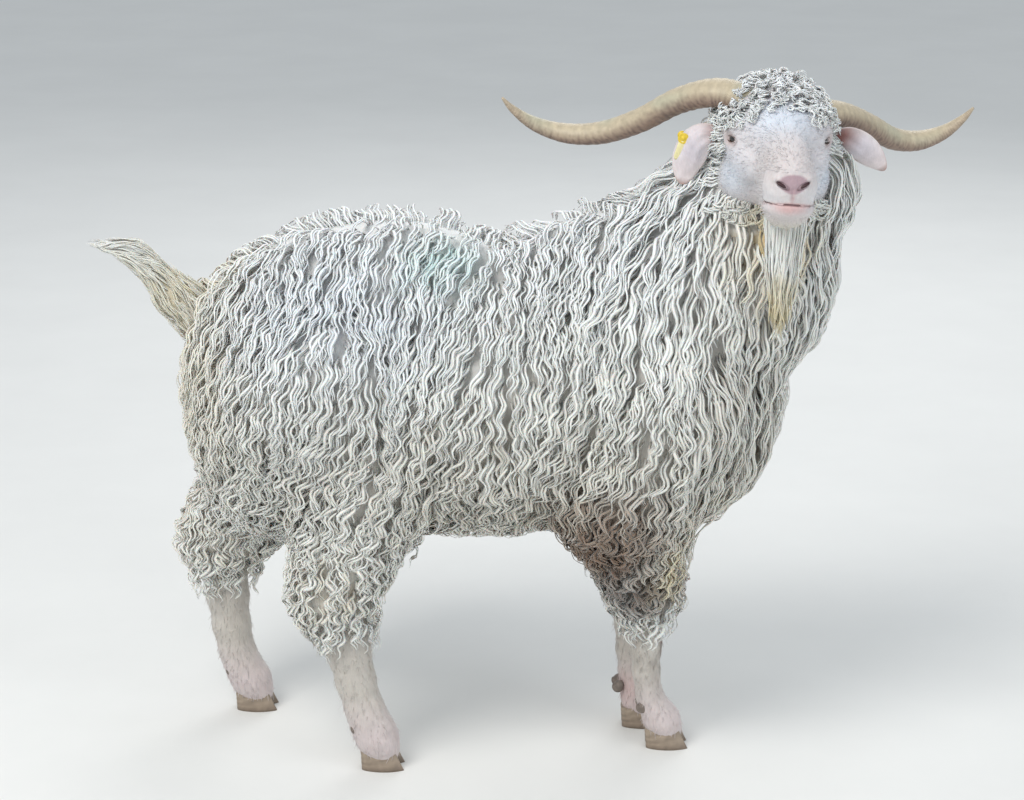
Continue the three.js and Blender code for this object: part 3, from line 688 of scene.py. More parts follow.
def varied(tree, colour, place, size, amount):
    """A colour that grows lighter and darker with a fine noise."""
    settings = [("Vector", place), ("Scale", size), ("Detail", 4.0), ("Roughness", 0.6)]
    noise = linked(tree, "ShaderNodeTexNoise", settings)
    spread = [("From Min", 0.3), ("From Max", 0.7), ("To Min", 1 - amount), ("To Max", 1 + amount)]
    level = linked(tree, "ShaderNodeMapRange", [("Value", noise.outputs["Fac"])] + spread)
    factors = [(0, colour), (1, level.outputs[0])]
    return linked(tree, "ShaderNodeVectorMath", factors, operation="MULTIPLY").outputs[0]


def bumped(tree, base, place, size, depth):
    noise = linked(tree, "ShaderNodeTexNoise", [("Vector", place), ("Scale", size)])
    settings = [("Height", noise.outputs["Fac"]), ("Distance", depth), ("Strength", 0.8)]
    bump = linked(tree, "ShaderNodeBump", settings)
    tree.links.new(bump.outputs["Normal"], base.inputs["Normal"])


def dressed(made, place, colour_size, amount, bump_size, bump_depth):
    """Gives a shader the painted colour with a fine variation, and a bump."""
    material, tree, base = made
    colour = linked(tree, "ShaderNodeAttribute", attribute_name="coat_colour").outputs["Color"]
    tree.links.new(varied(tree, colour, place, colour_size, amount), base.inputs["Base Color"])
    bumped(tree, base, place, bump_size, bump_depth)
    return material


def painted(name, roughness, bump_size, bump_depth, stretch=(1, 1, 1), **finish):
    made = shader(name, roughness, **finish)
    place = stretched(made[1], stretch).outputs[0]
    return dressed(made, place, bump_size * 0.5, 0.06, bump_size, bump_depth)


def fibrous(name, roughness, lines, depth, **finish):
    """A look for strands, with fine hairs that run along them."""
    made = shader(name, roughness, **finish)
    place = linked(made[1], "ShaderNodeAttribute", attribute_name="fibres").outputs["Vector"]
    return dressed(made, place, lines, 0.13, lines, depth)


SKIN_LOOK = painted("skin_and_short_hair", 0.7, 900, 0.0006, (1, 1, 0.35), sheen=0.15, subsurface=0.08)
FLEECE_LOOK = fibrous("mohair", 0.6, 3.2, 0.0006, sheen=0.5, specular=0.35, subsurface=0.25)
HORN_LOOK = painted("horn", 0.5, 500, 0.0004, (1, 1, 1), specular=0.5)
HOOF_LOOK = painted("hoof", 0.5, 600, 0.0003, (0.3, 0.3, 3), specular=0.5)
EYE_LOOK = painted("eye", 0.08, 300, 0.00002, coat=1.0)
TAG_LOOK = painted("tag_plastic", 0.42, 1500, 0.00003, specular=0.5)
SLIT_LOOK = painted("bare_lid", 0.45, 1200, 0.0002, specular=0.5)


def finished(piece, look, slot, *nodes):
    piece.data.materials.clear()
    piece.data.materials.append(look)
    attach(piece, "root")
    if nodes:
        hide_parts(*nodes)
    return piece


# Locks: tapered strands with three sides, laid in staples over the skin
def strand_mesh(name, paths, sides, ups, widths, thicks, colours, roots_uv):
    """paths, sides and ups are (n, k, 3), widths and thicks (n, k), colours (n, k, 3), roots_uv (n, 2)."""
    n, k, _ = paths.shape
    left = paths - sides * widths[..., None]
    right = paths + sides * widths[..., None]
    top = paths + ups * thicks[..., None]
    points = np.stack([left, right, top], 2).reshape(-1, 3)
    points[:, 2] = np.maximum(points[:, 2], SOLE_CLEAR)
    start = (np.arange(n) * k * 3)[:, None, None]
    ring = (np.arange(k - 1) * 3)[None, :, None]
    a = np.array([0, 1, 2])
    b = np.array([1, 2, 0])
    one = start + ring + a
    two = start + ring + b
    quads = np.stack([one, two, two + 3, one + 3], -1).reshape(-1, 4)
    ends = np.arange(n)[:, None] * k * 3
    tris = np.concatenate([ends + np.array([0, 2, 1]), ends + (k - 1) * 3 + np.array([0, 1, 2])])
    along = np.arange(k)[None, :, None] / (k - 1)
    around = np.arange(3)[None, None, :] / 3
    spots = np.empty((n, k, 3, 2))
    spots[..., 0] = roots_uv[:, None, None, 0] + TUFT_PATCH * (along - 0.5)
    spots[..., 1] = roots_uv[:, None, None, 1] + TUFT_PATCH * (around - 0.5)
    spots = np.clip(spots.reshape(-1, 2), 0, 1)
    corners = np.concatenate([quads.ravel(), tris.ravel()])
    tints = np.repeat(colours.reshape(-1, 3), 3, axis=0)
    piece = mesh_object(name, points, quads, tris, uvs=spots[corners], colours=np.clip(tints, 0, 1))
    fibres = np.zeros((n, k, 3, 3))
    fibres[..., 0] = np.array([0, 1, 0.5]) + rng.uniform(0, 400, n)[:, None, None]
    fibres[..., 1] = 0.5 * along
    layer = piece.data.attributes.new("fibres", "FLOAT_VECTOR", "POINT")
    layer.data.foreach_set("vector", fibres.astype(np.float32).ravel())
    return piece


def surface_samples(piece, spacing, keep):
    """Points spread evenly over the skin, one to each small cell."""
    mesh = piece.data
    mesh.calc_loop_triangles()
    tris = np.empty(len(mesh.loop_triangles) * 3, np.int32)
    mesh.loop_triangles.foreach_get("vertices", tris)
    corners = points_of(mesh)[tris.reshape(-1, 3)]
    corners = corners[keep(corners.mean(1))]
    cross = np.cross(corners[:, 1] - corners[:, 0], corners[:, 2] - corners[:, 0])
    area = np.linalg.norm(cross, axis=1) / 2
    count = int(area.sum() / spacing**2 * 9)
    pick = rng.choice(len(area), count, p=area / area.sum())
    u, v = rng.random((2, count, 1))
    flip = u + v > 1
    u, v = np.where(flip, 1 - u, u), np.where(flip, 1 - v, v)
    points = corners[pick, 0] * (1 - u - v) + corners[pick, 1] * u + corners[pick, 2] * v
    cells = np.floor(points / spacing + 1000).astype(np.int64)
    _, first = np.unique(cells @ np.array([1, 4096, 4096**2]), return_index=True)
    return points[first]


def march(roots, lay, length, steps, heights, hang):
    """Paths over the skin that follow the lay, at heights above it, with the normal at each point."""
    distance = lambda p: coat_distance(p, SKIN_SHARE)
    p = roots.copy()
    normal = unit(gradient(distance, p))
    path, normals = [p - normal * 2.0], [normal]
    for k in range(1, steps):
        p = p + lay(p, normal) * (length / (steps - 1))[:, None]
        here = distance(p)
        normal = unit(gradient(distance, p, here))
        move = heights[:, k] - here
        p = p + normal * np.where(move < 0, move * (1 - hang), move)[:, None]
        path.append(p.copy())
        normals.append(normal)
    return np.stack(path, 1), np.stack(normals, 1)


def falling(combed, fall, hang=0.2):
    """The lay of a region: its comb and the pull of its own weight, nearly flat along the skin."""

    def lay(p, normal):
        way = combed(p) + np.array([0, 0, -fall])
        away = (way * normal).sum(1)
        way = way - normal * np.where(away > 0, away * (1 - hang), away)[:, None]
        return unit(way + 1e-3 * normal)

    return lay


def shorter_by_eyes(p):
    m = mirrored_x(to_head(p))
    return np.clip((np.linalg.norm(m - EYE_AT, axis=1) - 8) / 34, 0.35, 1)


def longer_to_tail_tip(p):
    return 0.4 + 0.7 * np.clip((p[:, 2] - 590) / 70, 0, 1)


CURL_START = 12.0  # how far along a strand its curl is full
FLATNESS = 0.55


def staples(region, name):
    """Builds the locks of a region and returns the pieces."""
    roots = surface_samples(skin, region["spacing"], region["keep"])
    n, k, strands = len(roots), region["steps"], region["strands"]
    ts = np.linspace(0, 1, k)
    depth = (coat_distance(roots, SKIN_SHARE) - coat_distance(roots, 1.0)) * region.get("loft", 1.0)
    full = rng.uniform(0.62, 1.08, n) * depth
    stray = rng.random(n) < region.get("strays", 0.03)
    full = np.where(stray, full * rng.uniform(1.1, 1.5, n), full)
    rise = np.minimum(1, ts / 0.45) ** 0.8
    rise = rise * (1 - region.get("sag", 0.12) * ts)
    length = region["length"] * rng.uniform(0.75, 1.2, n) * region.get("grow", shorter_by_eyes)(roots)
    heights = full[:, None] * rise[None]
    path, normal = march(roots, region["lay"], length, k, heights, region.get("hang", 0.2))
    tangent = unit(np.gradient(path, axis=1))
    side = unit(np.cross(tangent, normal))
    up = np.cross(side, tangent)
    period = region["period"] * rng.uniform(0.88, 1.15, n)
    phase = 3.2 * ripple(roots, region.get("patch", 75), 21) + rng.normal(0, 0.45, n)
    phase = phase - 2 * math.pi * roots[:, 2] / region["period"]
    tight = np.interp(roots[:, 2], (330, 430, 600), region.get("curl_by_height", (1, 1, 1)))
    hand = np.sign(ripple(roots, 35, 23) + 1e-6)
    travelled = ts[None] * length[:, None]
    made = []
    for s in range(strands):
        angle = 2 * math.pi * (s + rng.uniform(0, 0.7, n)) / strands
        spread = region["spread"] * rng.uniform(0.5, 1.1, n)
        taper = 1 - 0.62 * ts[None] ** 1.5
        away = (np.cos(angle) * spread)[:, None] * taper
        lift = (np.sin(angle) * spread * 0.45)[:, None] * taper
        turn = 2 * math.pi * travelled / period[:, None] + phase[:, None] + rng.normal(0, 0.28, n)[:, None]
        swing = (region["curl"] * tight * rng.uniform(0.7, 1.25, n))[:, None]
        swing = swing * np.minimum(1, travelled / CURL_START)
        line = path + side * (away + swing * np.sin(turn))[..., None]
        line = line + up * (lift + 0.55 * swing * hand[:, None] * np.cos(turn))[..., None]
        reach = rng.uniform(0.78, 1.0, n)
        line = shortened(line, reach)
        run = unit(np.gradient(line, axis=1))
        flat = unit(np.cross(run, up))
        thick = region["girth"] * rng.uniform(0.65, 1.3, n)[:, None] * sampled(TAPER, ts)[None]
        # each strand is painted a little darker at its root as painted shade among the locks and lighter at
        # its tip as painted light, with a random tone per strand
        shade = sampled((0.98, 1.0, 1.03, 1.05), ts)[None, :, None] * rng.uniform(0.92, 1.06, (n, 1, 1))
        colour = markings_and_painted_light(path[:, k // 2])[:, None] * shade
        made.append((line, flat, np.cross(flat, run), thick, thick * FLATNESS, colour, unwrapped(roots)))
    joined = [np.concatenate(parts) for parts in zip(*made)]
    each = 6 * (k - 1) + 2
    order = np.argsort(joined[0][:, 0, 0], kind="stable")
    pieces = []
    for i, chosen in enumerate(np.array_split(order, 1 + len(order) * each // PIECE_LIMIT)):
        piece = strand_mesh(f"{name}_{i + 1}", *(part[chosen] for part in joined))
        pieces.append(finished(piece, FLEECE_LOOK, "fleece"))
    return pieces


def shortened(line, reach):
    """Lines cut back to a share of their own length."""
    n, k, _ = line.shape
    at = np.linspace(0, 1, k)[None] * reach[:, None] * (k - 1)
    i = np.minimum(at.astype(int), k - 2)
    w = (at - i)[..., None]
    rows = np.arange(n)[:, None]
    return line[rows, i] * (1 - w) + line[rows, i + 1] * w


# An unwrap of the skin by regions: each is rolled out round its own line into its own part of the square
UNWRAP_LINES = [
    ((-330, 0, 505), (240, 0, 500), (0.0, 0.62)),
    ((190, 0, 540), (325, -20, 790), (0.62, 0.14)),
    ((-370, 0, 560), (-490, 0, 690), (0.76, 0.04)),
    *(
        (leg["joints"][1], (*leg["joints"][4][:2], 0), (0.80 + 0.03 * i, 0.03))
        for i, leg in enumerate(LEGS.values())
    ),
    (tuple(from_head((0, -120, 0))), tuple(from_head((0, 160, -20))), (0.92, 0.08)),
]


def unwrapped(p):
    """Where a point of the skin lies on the unwrap."""
    groups = [TORSO, NECK, TAIL] + [upper_leg(leg) + lower_leg(leg) for leg in LEGS.values()]
    away = [masses_distance(g, p, SKIN_SHARE, 5) for g in groups]
    away.append(masses_distance(HEAD, to_head(p), SKIN_SHARE, 5))
    region = np.argmin(away, axis=0)
    spots = np.zeros((len(p), 2))
    for i, (start, end, (low, wide)) in enumerate(UNWRAP_LINES):
        here = region == i
        start, end = np.array(start, float), np.array(end, float)
        axis = end - start
        t = np.clip((p[here] - start) @ axis / (axis @ axis), -0.25, 1.25)
        across = unit(np.cross(axis, (0, 1, 0)))
        away_from = p[here] - start - t[:, None] * axis
        angle = np.arctan2(away_from @ unit(np.cross(axis, across)), away_from @ across)
        spots[here, 0] = low + wide * (0.01 + 0.98 * (t + 0.25) / 1.5)
        spots[here, 1] = 0.01 + 0.98 * (angle / (2 * math.pi) + 0.5)
    return spots


skin = make_skin()
finished(
    skin, SKIN_LOOK, "face",
    "torso", "neck", "head", "tail",
    *(f"{leg}_{half}" for leg in LEGS for half in ("upper", "lower")),
)


# Where each region of the coat grows, and how it is combed
def head_part(p):
    q = to_head(p)
    face = (q[:, 1] > -20) & (q[:, 1] < 190) & (np.abs(q[:, 0]) < 90) & (q[:, 2] > -84) & (q[:, 2] < 90)
    return face | (masses_distance(HEAD, q, SKIN_SHARE, 5) < 4)


def nearest(p):
    groups = [TORSO, NECK, TAIL] + [part["masses"] for part in UPPER_LEGS + LOWER_LEGS]
    return np.argmin([masses_distance(g, p, SKIN_SHARE, 5) for g in groups], axis=0)


def on_topknot(p):
    q = to_head(p)
    edge = 31 - 13 * np.minimum(1, (q[:, 0] / 46) ** 2) + 0.4 * np.maximum(0, q[:, 1])
    return head_part(p) & (q[:, 2] > edge) & (q[:, 1] < 24) & (q[:, 2] > -q[:, 1] * 0.2)


def on_cheek(p):
    q = to_head(p)
    behind = q[:, 1] < -32
    throat = (q[:, 2] < -72) & (q[:, 1] < 16)
    return head_part(p) & (behind | throat) & ~on_topknot(p) & ~on_temple(p)


def on_temple(p):
    q = to_head(p)
    behind_eye = (np.abs(q[:, 0]) > 42) & (q[:, 1] < -8) & (q[:, 1] > -60)
    return head_part(p) & behind_eye & (q[:, 2] > -14) & ~on_topknot(p)


def on_lower_leg(p):
    return (nearest(p) >= 7) & (p[:, 2] < 215)


def on_body(p):
    return ~head_part(p) & ~on_lower_leg(p) & (p[:, 2] > 195)


def on_legs(p):
    part = nearest(p)
    return on_body(p) & (part >= 3) & (p[:, 2] < 355)


def on_neck(p):
    return on_body(p) & ((nearest(p) == 1) | ((p[:, 0] > 225) & (p[:, 2] < 560)))


def on_tail(p):
    return on_body(p) & (nearest(p) == 2) & (p[:, 0] < -392)


def on_trunk(p):
    return on_body(p) & ~on_legs(p) & ~on_neck(p) & ~on_tail(p)


def comb_trunk(p):
    over = np.clip((p[:, 2] - 520) / 110, 0, 1)
    drift = 0.3 * ripple(p, 130, 31)
    side = np.where(np.abs(p[:, 1]) < 3, 1, np.sign(p[:, 1]))
    return np.stack([-0.28 + drift, side * over * 0.9, 0 * drift], 1)


def comb_down(p):
    return np.stack([-0.1 + 0.25 * ripple(p, 70, 32), 0.2 * ripple(p, 70, 33), 0 * p[:, 0]], 1)


def comb_tail(p):
    tip = np.clip((p[:, 2] - 610) / 80, 0, 1)
    return np.stack([-0.75 - 0.5 * tip, 0.12 * np.sign(p[:, 1]), 1.2 - 1.35 * tip], 1)


def comb_topknot(p):
    q = to_head(p)
    way = np.stack([0.012 * q[:, 0], 0.45 + 0 * q[:, 0], 0 * q[:, 0]], 1)
    way = way + 1.1 * np.stack([ripple(p, 20, 34), ripple(p, 20, 35), ripple(p, 20, 36)], 1)
    return way @ HEAD_AXES.T


def comb_temple(p):
    q = to_head(p)
    way = np.stack([0 * q[:, 0], -1.0 + 0 * q[:, 0], -0.3 + 0 * q[:, 0]], 1)
    way = way + 0.8 * np.stack([ripple(p, 18, 37), ripple(p, 18, 38), ripple(p, 18, 39)], 1)
    return way @ HEAD_AXES.T


def comb_cheek(p):
    q = to_head(p)
    back = np.where(q[:, 2] > -50, -1.7, -0.7)
    way = np.stack([0.01 * q[:, 0], back, 0 * back], 1)
    return way @ HEAD_AXES.T + 0.4 * comb_down(p)


REGIONS = {
    "fleece": dict(
        keep=on_trunk, lay=falling(comb_trunk, 1.0), spacing=17.6, steps=14, strands=3, length=72,
        period=33, curl=4.6, spread=7.0, girth=2.0, curl_by_height=(1.5, 1.2, 0.6),
    ),
    "ruff": dict(
        keep=on_neck, lay=falling(comb_down, 1.0), spacing=18.6, steps=13, strands=3, length=96,
        period=46, curl=4.0, spread=7.0, girth=2.3,
    ),
    "stockings": dict(
        keep=on_legs, lay=falling(comb_down, 0.9), spacing=17, steps=12, strands=3, length=48,
        period=23, curl=5.2, spread=7.0, girth=2.2,
    ),
    "topknot_curls": dict(
        keep=on_topknot, lay=falling(comb_topknot, 0.3), spacing=6.8, steps=11, strands=3, length=24,
        period=14, curl=3.2, spread=3.0, girth=1.15, patch=14, loft=0.8,
    ),
    "temple_curls": dict(
        keep=on_temple, lay=falling(comb_temple, 0.15), spacing=6.4, steps=10, strands=3, length=22,
        period=12, curl=3.2, spread=3.0, girth=1.2, patch=14,
    ),
    "cheek_curls": dict(
        keep=on_cheek, lay=falling(comb_cheek, 0.8, 0.6), spacing=9.0, steps=13, strands=3, length=32,
        period=16, curl=3.8, spread=4.0, girth=1.5, patch=20, hang=0.6,
    ),
    "tail_plume": dict(
        keep=on_tail, lay=falling(comb_tail, 0.0, 1.0), spacing=9.0, steps=12, strands=2, length=78,
        period=64, curl=2.4, spread=3.0, girth=1.3, sag=0.1, strays=0.12, hang=0.9, loft=0.6,
        grow=longer_to_tail_tip,
    ),
}
coat = {name: staples(region, name) for name, region in REGIONS.items()}
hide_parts("topknot")


# Beard: long fine locks, nearly straight, that gather to one tip
BEARD_LOCKS = 520
BEARD_STEPS = 14
BEARD_TIP = np.array([-3.0, 60.0, -222.0])
BEARD_TOP = np.array([-3.0, 84.0, -77.0])
BEARD_WHITE = np.array([0.92, 0.90, 0.84])
BEARD_YELLOW = np.array([0.86, 0.73, 0.46])


def make_beard():
    n, k = BEARD_LOCKS, BEARD_STEPS
    ts = np.linspace(0, 1, k)
    angle = rng.uniform(0, 2 * math.pi, n)
    out = np.sqrt(rng.random(n))
    spot = np.stack([24 * out * np.cos(angle), 21 * out * np.sin(angle), 0 * out], 1)
    roots = BEARD_TOP + spot + np.array([0, 0, 1.0]) * (14 * out**2 * np.abs(np.cos(angle)))[:, None]
    clumps = rng.integers(0, 26, n)
    gathered = rng.normal(0, (5, 4, 0), (26, 3))[clumps]
    tips = BEARD_TIP + gathered + rng.normal(0, (1.6, 1.6, 8), (n, 3)) + spot * np.array([0.15, 0.12, 0])
    tips[:, 2] += rng.uniform(0, 70, n) * np.clip(out, 0.15, 1)
    line = roots[:, None] + (tips - roots)[:, None] * ts[None, :, None]
    bulge = np.sin(math.pi * ts**0.7)[None] * (1 + 4 * out[:, None])
    line[..., 0] += np.cos(angle)[:, None] * bulge
    line[..., 1] += np.sin(angle)[:, None] * bulge * 0.7
    wave = 2 * math.pi * (ts[None] * 2.2 + clumps[:, None] * 0.37 + rng.normal(0, 0.06, n)[:, None])
    line[..., 0] += 2.4 * ts[None] * np.sin(wave)
    line[..., 1] += 2.0 * ts[None] * np.cos(wave)
    places = line.reshape(-1, 3)
    line = from_head(places).reshape(n, k, 3)
    run = unit(np.gradient(line, axis=1))
    outwards = np.stack([np.cos(angle), np.sin(angle), 0 * angle], 1)[:, None] @ HEAD_AXES.T
    flat = unit(np.cross(run, outwards))
    thick = 1.7 * rng.uniform(0.6, 1.3, n)[:, None] * sampled(TAPER, ts)[None]
    yellow = np.clip((-135 - places[:, 2]) / 60 + 0.25 * ripple(places, 30, 90), 0, 1)
    colour = mixed(BEARD_WHITE + 0 * places, BEARD_YELLOW, yellow).reshape(n, k, 3)
    # the beard is painted darker at its roots: painted shade under the chin
    colour = colour * rng.uniform(0.85, 1.06, (n, 1, 1)) * sampled((0.8, 1.0, 1.0, 1.0), ts)[None, :, None]
    uvs = unwrapped(from_head(roots))
    piece = strand_mesh("beard_locks", line, flat, np.cross(flat, run), thick, thick * 0.8, colour, uvs)
    return finished(piece, FLEECE_LOOK, "fleece", "beard")


make_beard()


# Short hair of the legs and face: small tufts that lie flat and break the outline
def short_hair(name, keep, lay, spacing, length, girth, rise):
    roots = surface_samples(skin, spacing, keep)
    n, k = len(roots), 4
    ts = np.linspace(0, 1, k)
    normal = unit(gradient(skin_distance, roots))
    way = lay(roots, normal)
    way = unit(way + 0.25 * rng.normal(size=way.shape))
    long = length * rng.uniform(0.7, 1.3, n)[:, None]
    path = roots[:, None] + way[:, None] * (long * ts)[..., None]
    path = path + normal[:, None] * (rise * np.sin(math.pi * 0.6 * ts)[None] - 0.6)[..., None]
    side = np.repeat(unit(np.cross(way, normal))[:, None], k, 1)
    thick = girth * rng.uniform(0.7, 1.2, n)[:, None] * sampled((1, 0.9, 0.2), ts)[None]
    colour = skin_colours(roots)[:, None] * rng.uniform(0.98, 1.08, (n, 1, 1))
    # the tufts are painted a little lighter at their tips: painted light
    colour = colour * sampled((1.0, 1.05), ts)[None, :, None]
    ups = np.repeat(normal[:, None], k, 1)
    piece = strand_mesh(name, path, side, ups, thick, thick * 0.6, colour, unwrapped(roots))
    return finished(piece, SKIN_LOOK, "face")


def on_face(p):
    q = to_head(p)
    bare = (q[:, 1] > 128) & (q[:, 2] < -4) & (q[:, 2] > -58)
    lids = np.linalg.norm((mirrored_x(q) - over_eye(0, 0, 0)) * np.array([1, 1, 1.4]), axis=1) < 15
    return head_part(p) & ~bare & ~lids & ~on_topknot(p) & ~on_cheek(p) & ~on_temple(p)


def comb_face(p):
    q = to_head(p)
    way = np.stack([0.012 * q[:, 0], -1 + 0 * q[:, 0], -0.2 + 0 * q[:, 0]], 1)
    return way @ HEAD_AXES.T


short_hair("leg_hair", on_lower_leg, falling(comb_down, 1.0), 6.8, 9, 0.55, 0.9)
short_hair("face_hair", on_face, falling(comb_face, 0.1), 4.4, 9, 0.4, 0.9)


# Horns: a flattened section with growth rings
HORN_LINE = [
    (28, -42, 39), (62, -57, 46), (100, -86, 30), (144, -120, -6), (185, -143, -27.5),
    (224, -158, -32), (260, -163, -21), (285, -158, -1), (296, -153, 13),
]
HORN_RADII = (23, 22, 20.5, 19, 17.5, 15, 10.5, 5.5, 2)
HORN_FLATNESS = 0.8
HORN_BEND = 4
HORN_STEPS = 150
HORN_SIDES = 28
HORN_RIDGES = 34
HORNS = {"horn_right": (1, 1.13, 1), "horn_left": (-1, 0.91, 0.48)}


def make_horn(name, s, spread, arch):
    points = []
    for i, (out, back, up) in enumerate(HORN_LINE):
        up = up * arch if up > 0 and i < HORN_BEND else up
        points.append((s * out * spread, back, up))
    ts = np.linspace(0, 1, HORN_STEPS)
    line = smooth_curve(points, ts)
    ridges = 1 + 0.022 * np.sin(2 * math.pi * HORN_RIDGES * ts**0.85) * (1 - ts) ** 0.6
    ridges = ridges + 0.012 * ripple(line, 7, 50) * (1 - ts)
    radii = sampled(HORN_RADII, ts) * ridges * 0.985
    shape, quads, tris = ring_tube(line, radii, HORN_SIDES, (0, 0.35, 1), HORN_FLATNESS)
    turn = np.linspace(0, 2 * math.pi, HORN_SIDES, endpoint=False)
    under = np.append(np.tile(np.sin(turn), HORN_STEPS), [0, 0])
    along = np.append(np.repeat(ts, HORN_SIDES), [0, 1])
    down = (shape - np.vstack([np.repeat(line, HORN_SIDES, axis=0), line[[0, -1]]]))[:, 2] / 20
    colour = np.array([0.52, 0.44, 0.31]) + 0 * shape
    colour = mixed(colour, (0.46, 0.47, 0.35), np.clip(ripple(shape, 70, 51), 0, 1) * 0.5)
    # the lower side of the horn is painted dark brown as painted shade, and its dark ridge streaks are
    # painted only on that shaded side
    colour = mixed(colour, (0.23, 0.145, 0.115), np.clip(0.4 - down * 1.6, 0, 1) * 0.85)
    streaks = np.clip(np.sin(2 * math.pi * 64 * along + 2 * ripple(shape, 12, 52)) * 1.3, 0, 1)
    colour = mixed(colour, (0.13, 0.085, 0.07), streaks * np.clip(0.4 - down * 1.2, 0, 1) * 0.75)
    colour = mixed(colour, (0.62, 0.52, 0.38), np.clip(along * 4 - 3, 0, 1) * 0.4)
    colour = colour * (1 + 0.1 * ripple(shape, 9, 53) + 0.03 * under)[:, None]
    piece = mesh_object(name + "_ridged", from_head(shape), quads, tris, colours=np.clip(colour, 0, 1))
    return finished(outward(piece), HORN_LOOK, "horn", name)


for name, shape in HORNS.items():
    make_horn(name, *shape)

# Ears: a drooping leaf along a line from root to tip, with a cupped inside and a thin rim
EAR_WIDTH = 42.0
EAR_THICK = 4.6
EAR_CUP = 1.1
EARS = {
    "ear_right": dict(
        line=((64, -35, 4), (94, -42, -10), (106, -47, -36), (111, -51, -69)),
        front=(0.26, 1, 0.24),
    ),
    "ear_left": dict(
        line=((-66, -39, 3), (-95, -51, -12), (-122, -60, -30), (-146, -68, -49)),
        front=(-0.17, 0.91, -0.6),
    ),
}
EAR_WHITE = np.array([0.72, 0.64, 0.64])
EAR_HOLLOW_SHADE = {"ear_right": 1.1, "ear_left": 1.9}  # how far out from the root the painted shade in the ear's hollow reaches
EAR_ROWS = 44
EAR_SIDES = 44


def make_ear(name, line, front):
    polar = np.linspace(0.02, math.pi - 0.02, EAR_ROWS)
    turn = np.linspace(0, 2 * math.pi, EAR_SIDES, endpoint=False)
    t = np.repeat((1 - np.cos(polar)) / 2, EAR_SIDES)
    x = (np.sin(polar)[:, None] * np.cos(turn)[None]).ravel()
    z = (np.sin(polar)[:, None] * np.sin(turn)[None]).ravel()
    middle = smooth_curve(line, t)
    tangent = unit(smooth_curve(line, t + 0.01) - smooth_curve(line, t - 0.01))
    across = unit(np.cross(tangent, np.array(front, float)))
    facing = np.cross(across, tangent)
    blunt = 1 + 0.25 * np.clip(t * 2 - 1, 0, 1) * (name == "ear_right")
    wide = x * blunt * (EAR_WIDTH / 2) * (0.75 + 0.25 * np.sin(math.pi * t))
    fold = 0.9 * np.sin(wide * 0.5) * np.exp(-(((t - 0.35) / 0.3) ** 2))
    curled = 3.0 * np.clip((t - 0.86) / 0.14, 0, 1) ** 2
    high = z * EAR_THICK / 2 - EAR_CUP * wide**2 / EAR_WIDTH * (1 - 0.6 * t) + fold + curled
    q = middle + wide[:, None] * across + high[:, None] * facing
    quads, tris = tube_faces(EAR_ROWS, EAR_SIDES)
    q = np.vstack([q, q[:EAR_SIDES].mean(0), q[-EAR_SIDES:].mean(0)])
    inner = np.concatenate([np.clip(z * 3, 0, 1), [0, 0]])
    edge = np.concatenate([np.abs(x) ** 3, [0, 1]])
    t = np.concatenate([t, [0, 1]])
    colour = EAR_WHITE + 0 * q
    colour = mixed(colour, (0.58, 0.55, 0.63), inner * np.exp(-(((t - 0.5) / 0.25) ** 2)) * 0.6)
    # the root of the ear's cupped inside is painted dark: painted shade in the hollow
    colour = mixed(colour, (0.20, 0.075, 0.065), inner * np.clip(EAR_HOLLOW_SHADE[name] - t * 4.0, 0, 1))
    colour = mixed(colour, (0.76, 0.70, 0.66), edge * 0.5)
    colour = mixed(colour, (0.30, 0.20, 0.17), np.clip(t * 14 - 12.8, 0, 1) * 0.75)
    colour = mixed(colour, (0.40, 0.24, 0.20), (1 - inner) * np.clip(t * 4 - 2.6, 0, 1) * 0.6)
    colour = colour * (1 + 0.05 * ripple(q, 12, 60) + 0.03 * ripple(q, 4, 61))[:, None]
    piece = mesh_object(name + "_leaf", from_head(q), quads, tris, colours=np.clip(colour, 0, 1))
    return finished(outward(piece), SKIN_LOOK, "ear", name)


for name, shape in EARS.items():
    make_ear(name, **shape)


def capped(piece):
    """Closes the open ends of a mesh."""
    shape = bmesh.new()
    shape.from_mesh(piece.data)
    bmesh.ops.holes_fill(shape, edges=shape.edges)
    shape.to_mesh(piece.data)
    shape.free()
    return outward(piece)


# Eyes: a dark ball with a level slit of a pupil, and lids nearly shut over it
def ball(rows=28, sides=40):
    polar = np.linspace(0, math.pi, rows)[1:-1]
    turn = np.linspace(0, 2 * math.pi, sides, endpoint=False)
    out = np.sin(polar)[:, None]
    ring = np.stack([out * np.cos(turn), out * np.sin(turn), np.cos(polar)[:, None] + 0 * turn], -1)
    points = np.vstack([ring.reshape(-1, 3), [(0, 0, 1), (0, 0, -1)]])
    return points, *tube_faces(rows - 2, sides)


def make_eye(name, s):
    points, quads, tris = ball()
    q = points * (EYE_R - 0.15) + EYE_AT
    gaze = unit(over_eye(0, 0, 0) - EYE_AT)
    level = np.cross(gaze, UP)
    forward = (q - EYE_AT) @ gaze / EYE_R
    pupil = (((q - EYE_AT) @ level / 6.5) ** 2 + ((q - EYE_AT)[:, 2] / 2.4) ** 2 < 1) & (forward > 0)
    iris = np.linalg.norm(q - EYE_AT - gaze * EYE_R, axis=1) < 10
    colour = np.array([0.10, 0.07, 0.055]) + 0 * q
    colour[iris & ~pupil] = (0.060, 0.036, 0.020)
    colour[pupil] = (0.004, 0.004, 0.005)
    q[:, 0] *= s
    piece = mesh_object(name + "_ball", from_head(q), quads, tris, colours=colour)
    finished(outward(piece), EYE_LOOK, "eye", name)
    for upper, label in ((1, "upper"), (-1, "lower")):
        make_lid(f"{name}_{label}_lid", s, upper)


LID_TINT = np.array([0.52, 0.43, 0.41])
LID_FAR = math.radians(66)
LID_TURNS = 41
LID_ROWS = 9


